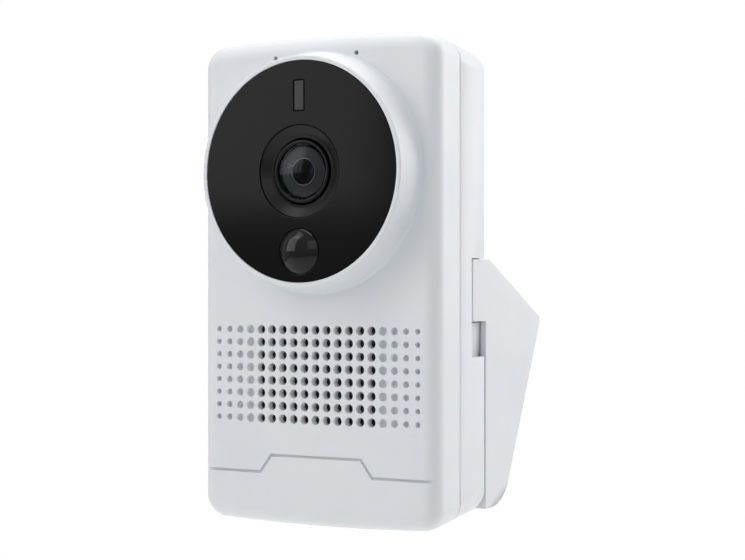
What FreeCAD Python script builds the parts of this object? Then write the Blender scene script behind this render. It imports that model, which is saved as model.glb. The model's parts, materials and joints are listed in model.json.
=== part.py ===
import FreeCAD, Part
import Sketcher
import os
import re

# Small indoor security camera on a hooked wall bracket.
#
# Build axes: X across the camera (right when facing it), Y from the front face to the back,
# Z up. The front face is at Y = 0 and the lowest point of the camera is at Z = 0. Every piece
# is drawn in these axes and then moved as one, so that the origin of the finished object is the
# centre of the bracket's wall face.

doc = FreeCAD.newDocument("security_camera")
sheet = doc.addObject("Spreadsheet::Sheet", "Sizes")

# Driving dimensions in millimetres, angles in degrees: name, value, what it is.
DIMENSIONS = [
    # casing
    ("body_width", 64.2, "camera across its flat sides"),
    ("body_height", 114.6, "camera from lowest to highest point"),
    ("body_depth", 24.4, "front face to back face of the camera"),
    ("crown_radius", 560.0, "slow curve of the top and bottom ends"),
    ("corner_radius", 5.5, "four corners seen from the front"),
    ("front_edge", 3.8, "rounding of the front edge"),
    ("back_edge", 1.0, "rounding of the back edge"),
    ("end_taper", 0.11, "fall of the top and bottom ends per unit of depth"),
    ("front_depth", 11.0, "depth of the front cover"),
    ("seam_gap", 0.3, "parting line between the covers"),
    ("shell_wall", 2.0, "wall of both covers"),
    ("cavity_chamfer", 3.2, "cut corners of the inner space"),
    ("lip_height", 1.5, "tongue of the rear cover inside the front cover"),
    ("lip_wall", 1.0, "thickness of that tongue"),
    ("close_fit", 0.1, "clearance of parts that only locate each other"),
    ("snug_fit", 0.05, "radial clearance of round parts that sit in each other"),
    ("move_gap", 0.3, "clearance of parts that move past each other"),
    # bezel and window
    ("eye_drop", 32.0, "lens axis below the top of the camera"),
    ("bezel_stand", 7.4, "bezel ring in front of the front face"),
    ("bezel_base", 28.0, "outer radius of the bezel at the front face"),
    ("bezel_rim", 26.6, "outer radius of the bezel just behind its rim"),
    ("bezel_round", 0.45, "broken edge of the rim"),
    ("window_radius", 25.5, "black window"),
    ("window_sink", 0.2, "window behind the rim"),
    ("window_plate", 1.5, "thickness of the window"),
    ("gasket_plate", 0.3, "thickness of the window gasket"),
    ("ledge_width", 1.0, "ledge that carries the window"),
    ("surround_radius", 10.6, "lens surround"),
    ("surround_bore", 7.6, "throat of the lens surround"),
    ("flange_width", 0.8, "flanges that hold inserts behind the window"),
    ("flange_plate", 0.5, "thickness of those flanges"),
    ("front_board_stand", 2.4, "back of the front board in front of the front face"),
    ("front_board_plate", 1.0, "front board"),
    ("slot_width", 2.7, "infra-red window across"),
    ("slot_height", 7.0, "infra-red window from top to bottom"),
    ("slot_rise", 17.4, "middle of the infra-red window above the lens axis"),
    ("detector_drop", 18.4, "motion detector's axis below the lens axis"),
    ("detector_radius", 5.2, "motion detector lens"),
    ("detector_dome", 2.2, "rise of the motion detector lens"),
    ("detector_wall", 0.8, "thickness of the motion detector lens"),
    # front face
    ("grille_pitch", 3.0, "spacing of the grille holes both ways"),
    ("grille_middle", 35.5, "height of the middle of the grille"),
    ("grille_hole", 2.1, "diameter of the open holes"),
    ("dimple_depth", 0.6, "depth of the blind dimples"),
    ("microphone_x", 11.0, "microphone holes either side of the middle"),
    ("microphone_drop", 4.2, "microphone holes below the top of the camera"),
    ("microphone_hole", 1.3, "diameter of the microphone holes"),
    ("bay_rise", 2.0, "room above the microphone holes"),
    ("groove_width", 0.55, "thin groove across the front"),
    ("groove_depth", 0.6, "depth of that groove"),
    ("groove_low", 12.3, "height of the groove at the sides"),
    ("groove_high", 16.35, "height of the groove in the middle"),
    ("groove_inner", 12.2, "half length of the raised part of the groove"),
    ("groove_outer", 15.25, "half length to the foot of its slopes"),
    # hooks and bracket
    ("notch_reach", 7.3, "side notch in front of the back face"),
    ("tab_reach", 6.5, "bracket's tab in front of the back face"),
    ("tab_bottom", 48.0, "bottom of the tab"),
    ("tab_top", 62.5, "top of the tab"),
    ("tab_plate", 1.2, "thickness of the tab"),
    ("hook_proud", 1.2, "hook inside the tab"),
    ("hook_width", 1.2, "hook from front to back"),
    ("hook_height", 6.2, "hook from bottom to top"),
    ("lift", 8.0, "lift that frees the hooks"),
    ("boss_wall", 2.0, "wall behind the catch groove"),
    ("bracket_gap", 0.3, "gap between the rear cover and the bracket"),
    ("bracket_bottom", 3.7, "lowest point of the bracket"),
    ("bracket_wall", 2.0, "side, bottom and ceiling walls of the bracket"),
    ("plate_wall", 2.4, "plates that take the screws"),
    ("bracket_reach", 31.3, "bracket from its front to its rearmost edge"),
    ("peak_z", 48.2, "height of that edge"),
    ("wall_tilt", 26.0, "wall face from upright"),
    ("wall_length", 42.5, "flat length of the wall face"),
    ("bracket_bend", 11.2, "rounding of the bracket's bottom"),
    ("peak_round", 1.0, "rounding of the rearmost edge"),
    ("screw_spread", 20.0, "wall screw holes either side of the middle"),
    ("screw_bore", 4.4, "diameter of the wall screw holes"),
    ("wall_screw_drop", 8.0, "wall screw holes below the middle of the wall face"),
    ("ceiling_screw_reach", 16.0, "ceiling screw holes from the rearmost edge"),
    ("passage_width", 16.0, "cable passage across"),
    ("passage_bottom", 34.0, "bottom of the cable passage"),
    ("passage_top", 43.5, "top of the cable passage"),
    # lens
    ("barrel_thread", 6.0, "radius of the threaded barrel"),
    ("barrel_bore", 5.2, "bore of the barrel"),
    ("barrel_head", 7.3, "radius of the barrel's head"),
    ("front_glass_radius", 6.4, "front glass"),
    ("front_glass_rise", 1.1, "rise of the front glass"),
    ("retainer_bore", 3.3, "aperture of the retainer ring"),
    ("holder_half", 7.6, "half width of the lens holder"),
    ("holder_front", 2.8, "front of the lens holder"),
    ("holder_depth", 6.0, "lens holder from front to back"),
    # filter changer
    ("filter_travel", 7.0, "travel of the filter carriage"),
    ("filter_depth", 3.8, "filter housing from front to back"),
    ("carriage_sink", 1.1, "carriage behind the front of its housing"),
    ("carriage_plate", 0.8, "thickness of the carriage"),
    ("carriage_half", 4.2, "half height of the carriage"),
    ("filter_half", 3.3, "half width of each filter opening"),
    ("arm_swing", 90.0, "turn of the rotor arm"),
    ("arm_width", 1.2, "width of the rotor arm"),
    ("pin_radius", 0.5, "pin of the rotor arm"),
    ("pin_slack", 0.3, "play of the pin in the fork"),
    ("rotor_rise", 12.6, "rotor axis above the lens axis"),
    ("rotor_radius", 2.4, "rotor magnet"),
    # boards
    ("board_plate", 1.6, "main board"),
    ("board_lead", 2.8, "front of the main board ahead of the sensor board"),
    ("board_side_gap", 3.6, "room beside the main board"),
    ("board_bottom", 12.0, "lower edge of the main board"),
    ("board_lap", 2.0, "main board above the lower edge of the sensor board"),
    ("sensor_plate", 1.2, "sensor board"),
    ("sensor_half", 17.0, "half width of the sensor board"),
    ("sensor_drop", 11.6, "sensor board below the lens axis"),
    ("sensor_rise", 17.9, "sensor board above the lens axis"),
    ("post_radius", 2.3, "screw posts"),
    ("pilot_radius", 0.9, "pilot holes"),
    ("screw_shank", 0.85, "radius of the small screws"),
    ("screw_head", 1.9, "radius of their heads"),
    ("head_plate", 1.2, "height of their heads"),
    ("housing_screw_side", 4.6, "housing screws from the inner side walls"),
    ("housing_screw_rise", 4.5, "lower housing screws above the inner space's end"),
    ("housing_screw_drop", 4.3, "upper housing screws below the inner space's end"),
    ("housing_screw_bite", 5.1, "housing screws inside the front cover's posts"),
    ("short_shank", 5.0, "shank of the board screws"),
    ("board_screw_inset", 3.0, "main board screws from the board's edges"),
    ("sensor_screw_side", 2.0, "sensor board screws from the board's sides"),
    ("sensor_screw_inset", 3.5, "sensor board screws from its upper and lower edges"),
    # speaker
    ("speaker_radius", 14.0, "speaker frame"),
    ("speaker_front", 3.0, "front of the speaker frame"),
    ("speaker_depth", 6.6, "speaker from front to back"),
    ("speaker_lip", 1.7, "flat rim of the speaker frame"),
    ("magnet_radius", 7.0, "speaker magnet"),
    ("coil_radius", 4.25, "outside of the voice coil"),
    ("coil_wall", 0.4, "wall of the voice coil"),
    ("cloth_plate", 0.2, "thickness of the grille cloth"),
    ("cone_travel", 0.5, "travel of the cone each way"),
    # connectors and controls
    ("jack_half", 8.0, "half width of the network jack"),
    ("jack_bottom", 13.2, "bottom of the network jack"),
    ("jack_top", 27.0, "top of the network jack"),
    ("jack_sink", 0.4, "jack and terminal behind the back face"),
    ("plug_half", 5.95, "half width of the jack's mouth"),
    ("plug_bottom", 15.5, "bottom of the jack's mouth"),
    ("plug_top", 24.3, "top of the jack's mouth"),
    ("jack_rear_wall", 2.0, "wall at the inner end of the jack"),
    ("latch_width", 6.4, "recess for the plug's latch"),
    ("latch_drop", 1.6, "depth of that recess below the mouth"),
    ("contact_pitch", 1.02, "spacing of the jack's contacts"),
    ("contact_width", 0.44, "jack contact across"),
    ("transformer_gap", 1.5, "network transformer above the jack"),
    ("transformer_height", 7.0, "network transformer from bottom to top"),
    ("transformer_depth", 5.6, "network transformer behind the main board"),
    ("terminal_left", 10.2, "left side of the terminal"),
    ("terminal_width", 10.0, "terminal across"),
    ("terminal_rise", 6.2, "height of the terminal"),
    ("terminal_pitch", 2.5, "spacing of the terminal's four entries"),
    ("terminal_entry", 1.8, "diameter of those entries"),
    ("terminal_depth", 6.0, "depth of those entries"),
    ("button_x", -12.0, "control button across"),
    ("button_z", 67.4, "height of the control button"),
    ("button_radius", 1.9, "control button"),
    ("button_travel", 0.6, "travel of the control button"),
    ("button_sink", 0.3, "control button behind the back face"),
    ("collar_plate", 1.2, "thickness of the button's collar"),
    ("collar_width", 1.0, "collar round the button's stem"),
    ("switch_half", 3.0, "half width of the button switch"),
    ("switch_rise", 3.5, "button switch behind the main board"),
    ("card_middle", 30.0, "height of the middle of the card slot"),
    ("card_half", 5.5, "half width of the memory card"),
    ("card_plate", 0.7, "thickness of the memory card"),
    ("card_front", 12.4, "front face of the memory card"),
    ("card_length", 15.0, "length of the memory card"),
    ("card_sink", 0.9, "memory card inside the side wall"),
    ("socket_end", 4.0, "card socket beyond the card's inner end"),
    ("socket_roof", 0.8, "card socket behind the card"),
    ("socket_wall", 1.3, "card socket above and below the card"),
    ("chip_middle", 50.0, "height of the processor's middle"),
    ("chip_half", 7.0, "half width of the processor"),
    ("chip_plate", 1.2, "thickness of the processor"),
    ("pad_half", 6.0, "half width of the thermal pad"),
    ("pad_plate", 1.0, "thickness of the thermal pad"),
    ("spreader_width", 32.0, "heat spreader across"),
    ("spreader_height", 21.0, "heat spreader from bottom to top"),
    ("spreader_plate", 1.6, "thickness of the heat spreader"),
    ("label_width", 28.0, "blank label across"),
    ("label_height", 14.0, "blank label from bottom to top"),
    ("label_drop", 16.6, "blank label below the top of the camera"),
    ("label_film", 0.15, "thickness of the blank label"),
]

# Places worked out from the driving dimensions, as formulas of their names.
DERIVED = {
    "half_width": "body_width / 2",
    "middle_height": "body_height / 2",
    "crown_drop": "crown_radius - sqrt(crown_radius * crown_radius - half_width * half_width)",
    # The rounded front edge takes this much off each tapering end.
    "end_overrun": "front_edge * (end_taper + sqrt(1 + end_taper * end_taper) - 1)",
    "end_rise": "crown_drop - end_overrun",
    "rear_front": "front_depth + seam_gap",
    "back_wall": "body_depth - shell_wall",
    "inner_x": "half_width - shell_wall",
    "front_rise": "end_rise + end_taper * front_depth + shell_wall",
    "rear_rise": "end_rise + end_taper * body_depth + shell_wall",
    "eye_height": "body_height - eye_drop",
    "slot_middle": "eye_height + slot_rise",
    "detector_height": "eye_height - detector_drop",
    "microphone_z": "body_height - microphone_drop",
    "window_front": "-(bezel_stand - window_sink)",
    "window_back": "window_front + window_plate",
    "ledge_front": "window_back + gasket_plate",
    "ledge_bore": "window_radius - ledge_width",
    "front_board_back": "-front_board_stand",
    "front_board_front": "front_board_back - front_board_plate",
    "barrel_front": "window_front + 0.9",
    "glass_seat": "barrel_front + 3.9",
    "holder_back": "holder_front + holder_depth",
    "barrel_back": "holder_back - 0.8",
    "notch_top": "tab_top + move_gap",
    "notch_front": "body_depth - notch_reach",
    "notch_bottom": "tab_bottom - lift - move_gap",
    "notch_x": "tab_inner - move_gap",
    "tab_front": "body_depth - tab_reach",
    "tab_inner": "half_width - tab_plate",
    "hook_inner": "tab_inner - hook_proud",
    "catch_x": "hook_inner - move_gap",
    "hook_top": "tab_top - move_gap",
    "hook_bottom": "hook_top - hook_height",
    "bracket_front": "body_depth + bracket_gap",
    "peak_y": "bracket_front + bracket_reach",
    "wall_y": "peak_y - wall_length / 2 * sin(wall_tilt)",
    "wall_z": "peak_z - wall_length / 2 * cos(wall_tilt)",
    "rotor_z": "eye_height + rotor_rise",
    "arm_length": "filter_travel / 2 / sin(arm_swing / 2)",
    "filter_back": "holder_back + filter_depth",
    "carriage_front": "holder_back + carriage_sink",
    "carriage_back": "carriage_front + carriage_plate",
    "sensor_back": "filter_back + sensor_plate",
    "sensor_bottom": "eye_height - sensor_drop",
    "sensor_top": "eye_height + sensor_rise",
    "board_front": "filter_back - board_lead",
    "board_back": "board_front + board_plate",
    "board_half": "inner_x - board_side_gap",
    "board_top": "sensor_bottom + board_lap",
    "housing_screw_x": "inner_x - housing_screw_side",
    "housing_screw_low": "front_rise + housing_screw_rise",
    "housing_screw_high": "body_height - front_rise - housing_screw_drop",
    "board_screw_x": "board_half - board_screw_inset",
    "board_screw_low": "board_bottom + board_screw_inset",
    "board_screw_high": "board_top - board_screw_inset",
    "sensor_screw_x": "sensor_half - sensor_screw_side",
    "sensor_screw_low": "sensor_bottom + sensor_screw_inset",
    "sensor_screw_high": "sensor_top - sensor_screw_inset",
    "jack_back": "body_depth - jack_sink",
    "terminal_right": "terminal_left + terminal_width",
    "terminal_top": "jack_bottom + terminal_rise",
    "card_back": "card_front + card_plate",
    "card_outer": "-(half_width - card_sink)",
    "switch_back": "board_back + switch_rise",
    "chip_back": "board_back + chip_plate",
    "pad_back": "chip_back + pad_plate",
    "speaker_seat": "shell_wall + cloth_plate",
}

for row, (alias, number, note) in enumerate(DIMENSIONS, start=1):
    sheet.set(f"A{row}", note)
    sheet.set(f"B{row}", str(number))
    sheet.setAlias(f"B{row}", alias)
doc.recompute()
ALIASES = {alias for alias, number, note in DIMENSIONS}
NAME = re.compile(r"[a-z_]+")
XZ_FRONT = "XZ_Plane"
placed = {}
nodes = []


def formula(text):
    """The text with each name replaced by its cell, or by its own formula in brackets."""
    def swap(match):
        word = match.group(0)
        if word in DERIVED:
            return f"({formula(DERIVED[word])})"
        if word in ALIASES:
            return f"Sizes.{word}"
        return word
    return NAME.sub(swap, str(text))


def number(text):
    """The present value of a formula."""
    return float(sheet.evalExpression(formula(text)))


def bind(thing, prop, text):
    """Ties one property to a formula of the sheet's cells."""
    thing.setExpression(prop, formula(text))


def put(thing, x, y, z):
    """Ties an object's place to three formulas."""
    placed[thing.Name] = (x, y, z)
    bind(thing, "Placement.Base.x", x)
    bind(thing, "Placement.Base.y", y)
    bind(thing, "Placement.Base.z", z)
    return thing


def node(label, thing):
    """Names a finished piece and moves it so that the wall face's centre is the origin."""
    x, y, z = placed.get(thing.Name, ("0", "0", "0"))
    put(thing, x, f"{y} - wall_y", f"{z} - wall_z")
    thing.Label = label
    nodes.append(thing)
    return thing


# ---- primitives and booleans ----

def box(name, x, y, z):
    """A block between pairs of formulas."""
    block = doc.addObject("Part::Box", name)
    for side, (low, high) in zip(("Length", "Width", "Height"), (x, y, z)):
        bind(block, side, f"({high}) - ({low})")
    return put(block, f"({x[0]})", f"({y[0]})", f"({z[0]})")


def rod(name, across, low, high, radius):
    """A cylinder along Y; across holds its X and Z."""
    cylinder = doc.addObject("Part::Cylinder", name)
    bind(cylinder, "Radius", radius)
    bind(cylinder, "Height", f"({high}) - ({low})")
    cylinder.Placement = FreeCAD.Placement(
        FreeCAD.Vector(), FreeCAD.Rotation(FreeCAD.Vector(1, 0, 0), -90))
    return put(cylinder, f"({across[0]})", f"({low})", f"({across[1]})")


def join(name, *parts):
    """One solid from several that touch or overlap."""
    union = doc.addObject("Part::MultiFuse", name)
    union.Shapes = list(parts)
    union.Refine = True
    return union


def cut(name, base, *tools):
    """The base without the tools."""
    tool = tools[0] if len(tools) == 1 else join(f"{name}_tools", *tools)
    result = doc.addObject("Part::Cut", name)
    result.Base = base
    result.Tool = tool
    return result


def group(name, *parts):
    """Separate solids kept in one piece's file, such as four equal screws."""
    compound = doc.addObject("Part::Compound", name)
    compound.Links = list(parts)
    return compound


def ring(name, across, low, high, outer, inner):
    """A plain ring along Y."""
    return cut(name, rod(f"{name}_outer", across, low, high, outer),
               rod(f"{name}_hole", across, f"{low} - 1", f"{high} + 1", inner))


# ---- sketches ----

def new_body(name):
    return doc.addObject("PartDesign::Body", name)


def sketch_on(body, name, role, level="0", rise="0"):
    """A sketch on one of the body's own planes, moved along its normal, and up for YZ."""
    plane = [item for item in body.Origin.OriginFeatures if item.Role == role][0]
    sketch = body.newObject("Sketcher::SketchObject", name)
    sketch.AttachmentSupport = (plane, [""])
    sketch.MapMode = "FlatFace"
    # The XZ plane's normal points to -Y.
    bind(sketch, "AttachmentOffset.Base.z", f"-({level})" if role == XZ_FRONT else level)
    bind(sketch, "AttachmentOffset.Base.y", rise)
    return sketch


def fix_point(sketch, geometry, point, x, y):
    """Holds one point of a sketch by its distances from the sketch's origin."""
    for kind, text in (("DistanceX", x), ("DistanceY", y)):
        index = sketch.addConstraint(
            Sketcher.Constraint(kind, -1, 1, geometry, point, number(text)))
        bind(sketch, f"Constraints[{index}]", text)


def outline(sketch, points):
    """A closed outline.

    Each point is (x, y). A third entry says that the side that ends there is an arc: "dome"
    for one whose centre lies on the sketch's X axis, or a formula for its radius, with the
    middle of its bow to the left of its direction.
    """
    places = [FreeCAD.Vector(number(item[0]), number(item[1]), 0) for item in points]
    for index, item in enumerate(points):
        start, end = places[index - 1], places[index]
        if len(item) == 2:
            sketch.addGeometry(Part.LineSegment(start, end))
        elif item[2] == "dome":
            # The centre is as far from both ends, on the X axis.
            reach = (end.x ** 2 + end.y ** 2 - start.x ** 2 - start.y ** 2) / (2 * (end.x - start.x))
            centre = FreeCAD.Vector(reach, 0, 0)
            radius = (start - centre).Length
            towards = ((start - centre) + (end - centre)).normalize()
            sketch.addGeometry(Part.Arc(start, centre + towards * radius, end))
        else:
            chord = end - start
            side = FreeCAD.Vector(-chord.y, chord.x, 0).normalize()
            radius = number(item[2])
            bow = radius - (radius ** 2 - (chord.Length / 2) ** 2) ** 0.5
            sketch.addGeometry(Part.Arc(start, (start + end) * 0.5 + side * bow, end))
    # An arc is stored anticlockwise, so its two ends may be the other way round.
    ends = []
    for index in range(len(points)):
        same = (sketch.getPoint(index, 1) - places[index - 1]).Length < 1e-6
        ends.append((1, 2) if same else (2, 1))
    for index, item in enumerate(points):
        following = (index + 1) % len(points)
        sketch.addConstraint(Sketcher.Constraint(
            "Coincident", index, ends[index][1], following, ends[following][0]))
        fix_point(sketch, index, ends[index][1], item[0], item[1])
        if len(item) == 3 and item[2] == "dome":
            sketch.addConstraint(Sketcher.Constraint("PointOnObject", index, 3, -1))
        elif len(item) == 3:
            held = sketch.addConstraint(
                Sketcher.Constraint("Radius", index, number(item[2])))
            bind(sketch, f"Constraints[{held}]", item[2])
    return sketch


def circles(sketch, places, diameter):
    """Equal circles at pairs of formulas."""
    for x, y in places:
        centre = FreeCAD.Vector(number(x), number(y), 0)
        index = sketch.addGeometry(
            Part.Circle(centre, FreeCAD.Vector(0, 0, 1), number(diameter) / 2))
        fix_point(sketch, index, 3, x, y)
        held = sketch.addConstraint(
            Sketcher.Constraint("Diameter", index, number(diameter)))
        bind(sketch, f"Constraints[{held}]", diameter)
    return sketch


def rectangle(x, y):
    """The four corners between two pairs of formulas."""
    return [(x[0], y[0]), (x[1], y[0]), (x[1], y[1]), (x[0], y[1])]


def pad(body, name, sketch, length, backwards=True):
    """Adds material; on the XZ plane backwards means towards +Y."""
    feature = body.newObject("PartDesign::Pad", name)
    feature.Profile = sketch
    feature.Reversed = backwards
    bind(feature, "Length", length)
    body.Tip = feature
    return feature


def pocket(body, name, sketch, length, forwards=False):
    """Cuts material; on the XZ plane forwards means towards -Y."""
    feature = body.newObject("PartDesign::Pocket", name)
    feature.Profile = sketch
    feature.Reversed = forwards
    bind(feature, "Length", length)
    body.Tip = feature
    return feature


def checked(body, feature, grows):
    """Stops the build when a feature adds or cuts nothing."""
    doc.recompute()
    before = feature.BaseFeature.Shape.Volume
    change = feature.Shape.Volume - before
    if (change > 0) != grows or abs(change) < 1e-3:
        raise RuntimeError(f"{body.Name}.{feature.Name} changed the volume by {change:.3f}")
    return feature


def round_edges(body, name, base, chosen, radius):
    """A fillet on the edges for which chosen(edge) is true."""
    doc.recompute()
    picked = [f"Edge{index}" for index, edge in enumerate(base.Shape.Edges, start=1) if chosen(edge)]
    if not picked:
        raise RuntimeError(f"{body.Name}.{name} found no edge")
    fillet = body.newObject("PartDesign::Fillet", name)
    fillet.Base = (base, picked)
    bind(fillet, "Radius", radius)
    body.Tip = fillet
    doc.recompute()
    return fillet


def turned(label, points, x="0", z="eye_height"):
    """A node revolved about an axis along Y; its points are (distance along Y, radius)."""
    body = new_body(label)
    sketch = outline(sketch_on(body, f"{label}_profile", "YZ_Plane", x, z), points)
    revolve(body, f"{label}_turn", sketch)
    return node(label, body)


def revolve(body, name, sketch):
    feature = body.newObject("PartDesign::Revolution", name)
    feature.Profile = sketch
    feature.ReferenceAxis = (sketch, ["H_Axis"])
    feature.Angle = 360
    body.Tip = feature
    return feature


# ---- covers ----

def blank(body, start, depth):
    """The outer form of a cover.

    Two half outlines, upper and lower, are carried along slanting lines, so that the sides
    stay flat and upright and the two crowned ends close towards each other.
    """
    for half, side, towards in (
            ("upper", f"body_height - end_rise - end_taper * ({start})", -1),
            ("lower", f"end_rise + end_taper * ({start})", 1)):
        first, last = ("-half_width", "half_width") if half == "upper" else ("half_width", "-half_width")
        sketch = outline(sketch_on(body, f"{body.Name}_{half}", XZ_FRONT, start), [
            (first, "middle_height"), (first, side), (last, side, "crown_radius"),
            (last, "middle_height")])
        feature = pad(body, f"{body.Name}_{half}_pad", sketch, depth)
        feature.UseCustomVector = True
        feature.AlongSketchNormal = True
        feature.Reversed = False
        feature.Direction = FreeCAD.Vector(0, 1, towards * number("end_taper"))
        bind(feature, "Direction.z", f"{towards} * end_taper")
    near = number(start)
    far = near + number(depth)
    middle = number("middle_height")

    def is_corner(edge):
        span = edge.BoundBox
        off_middle = abs((span.ZMin + span.ZMax) / 2 - middle)
        return span.YLength > 0.9 * (far - near) and off_middle > 0.8 * middle
    return round_edges(body, f"{body.Name}_corners", feature, is_corner, "corner_radius")


def at_depth(level):
    """Chooses the edges that lie in one plane across Y."""
    def chosen(edge):
        span = edge.BoundBox
        return abs(span.YMin - level) < 1e-4 and abs(span.YMax - level) < 1e-4
    return chosen


def cavity_points(rise, inset="0"):
    """The inner space of a cover: a rectangle with cut corners."""
    x = f"inner_x - ({inset})"
    low = f"{rise} + ({inset})"
    high = f"body_height - {rise} - ({inset})"
    corner = "cavity_chamfer"
    return [(f"-({x}) + {corner}", low), (f"{x} - {corner}", low),
            (x, f"{low} + {corner}"), (x, f"{high} - {corner}"),
            (f"{x} - {corner}", high), (f"-({x}) + {corner}", high),
            (f"-({x})", f"{high} - {corner}"), (f"-({x})", f"{low} + {corner}")]


def both_sides(x, z_values):
    """Four places: x to both sides at each of two heights."""
    return [(f"{sign}{x}", z) for sign in ("", "-") for z in z_values]


HOUSING_SCREWS = both_sides("housing_screw_x", ("housing_screw_low", "housing_screw_high"))
BOARD_SCREWS = both_sides("board_screw_x", ("board_screw_low", "board_screw_high"))
SENSOR_SCREWS = both_sides("sensor_screw_x", ("sensor_screw_low", "sensor_screw_high"))


def rows_of_holes(body, name, places, diameter, depth, columns):
    """One or more holes in the grille's top row, repeated down its rows and along its columns."""
    rows = 8
    top = f"grille_middle + {(rows - 1) / 2} * grille_pitch"
    sketch = circles(sketch_on(body, f"{name}_sketch", XZ_FRONT, "0"),
                     [(x, top) for x in places], diameter)
    first = pocket(body, f"{name}_hole", sketch, depth)
    checked(body, first, False)
    pattern = body.newObject("PartDesign::LinearPattern", f"{name}_pattern")
    pattern.Originals = [first]
    pattern.Direction = (sketch, ["V_Axis"])
    pattern.Reversed = True
    pattern.Mode = "Extent"
    pattern.Occurrences = rows
    bind(pattern, "Length", f"{rows - 1} * grille_pitch")
    if columns > 1:
        pattern.Direction2 = (sketch, ["H_Axis"])
        pattern.Mode2 = "Extent"
        pattern.Occurrences2 = columns
        bind(pattern, "Length2", f"{columns - 1} * grille_pitch")
    body.Tip = pattern
    doc.recompute()
    single = abs(first.Shape.Volume - first.BaseFeature.Shape.Volume)
    total = abs(pattern.Shape.Volume - first.BaseFeature.Shape.Volume)
    if abs(total - rows * columns * single) > 0.02 * total:
        raise RuntimeError(f"{name}: the pattern cut {total:.2f}, one hole {single:.2f}")
    return pattern


def groove_points():
    """Both edges of the stepped groove, out and back."""
    half = "groove_width / 2"
    # A slope's edges keep the groove's width when they shift by this much along X.
    shift = "(groove_width * 0.27)"
    path = [("-half_width", "groove_low", "0"), ("-groove_outer", "groove_low", shift),
            ("-groove_inner", "groove_high", shift), ("groove_inner", "groove_high", f"-{shift}"),
            ("groove_outer", "groove_low", f"-{shift}"), ("half_width", "groove_low", "0")]
    upper = [(f"{x} - {move}", f"{z} + {half}") for x, z, move in path]
    lower = [(f"{x} + {move}", f"{z} - {half}") for x, z, move in path]
    return upper + lower[::-1]


def make_front_cover():
    body = new_body("front_cover")
    corners = blank(body, "0", "front_depth")
    edge = round_edges(body, "front_rounding", corners, at_depth(0), "front_edge")
    ring_sketch = outline(sketch_on(body, "bezel_profile", "YZ_Plane", "0", "eye_height"), [
        ("shell_wall / 2", "0"), ("shell_wall / 2", "bezel_base"), ("0", "bezel_base"),
        ("-(bezel_stand - bezel_round)", "bezel_rim"),
        ("-bezel_stand", "bezel_rim - bezel_round"), ("-bezel_stand", "0")])
    bezel = revolve(body, "bezel", ring_sketch)
    checked(body, bezel, True)
    space = pocket(body, "inner_space", outline(
        sketch_on(body, "inner_outline", XZ_FRONT, "front_depth"), cavity_points("front_rise")),
        "front_depth - shell_wall", forwards=True)
    checked(body, space, False)
    bay = pocket(body, "microphone_bay", outline(
        sketch_on(body, "bay_outline", XZ_FRONT, "shell_wall"),
        rectangle(("-(microphone_x + 4)", "microphone_x + 4"),
                  ("microphone_z - 3.5", "microphone_z + bay_rise"))), "4")
    checked(body, bay, False)
    seat = pocket(body, "window_seat", circles(
        sketch_on(body, "seat_circle", XZ_FRONT, "-bezel_stand - 1"),
        [("0", "eye_height")], "2 * (window_radius + snug_fit)"), "bezel_stand + 1 + ledge_front")
    checked(body, seat, False)
    bore = pocket(body, "window_bore", circles(
        sketch_on(body, "bore_circle", XZ_FRONT, "-bezel_stand - 1"),
        [("0", "eye_height")], "2 * ledge_bore"), "bezel_stand + 2 + shell_wall")
    checked(body, bore, False)
    posts = pad(body, "posts", circles(
        sketch_on(body, "post_circles", XZ_FRONT, "shell_wall - 0.5"),
        HOUSING_SCREWS, "2 * post_radius"), "front_depth - shell_wall + 0.5")
    checked(body, posts, True)
    pilots = pocket(body, "pilots", circles(
        sketch_on(body, "pilot_circles", XZ_FRONT, "front_depth"),
        HOUSING_SCREWS, "2 * pilot_radius"), "front_depth - shell_wall - 1", forwards=True)
    checked(body, pilots, False)
    ears = pocket(body, "microphone_holes", circles(
        sketch_on(body, "microphone_circles", XZ_FRONT, "-0.5"),
        [("microphone_x", "microphone_z"), ("-microphone_x", "microphone_z")],
        "microphone_hole"), "shell_wall + 1")
    checked(body, ears, False)
    groove = pocket(body, "groove", outline(
        sketch_on(body, "groove_outline", XZ_FRONT, "-0.5"), groove_points()),
        "groove_depth + 0.5")
    checked(body, groove, False)
    rows_of_holes(body, "grille", ["-5 * grille_pitch"], "grille_hole", "shell_wall + 0.5", 11)
    for step, share in enumerate((0.985, 0.895, 0.8, 0.69)):
        column = f"{6 + step} * grille_pitch"
        rows_of_holes(body, f"dimples_{step + 1}", [column, f"-{column}"],
                      f"{share} * grille_hole", "dimple_depth", 1)
    node("front_cover", body)


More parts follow.
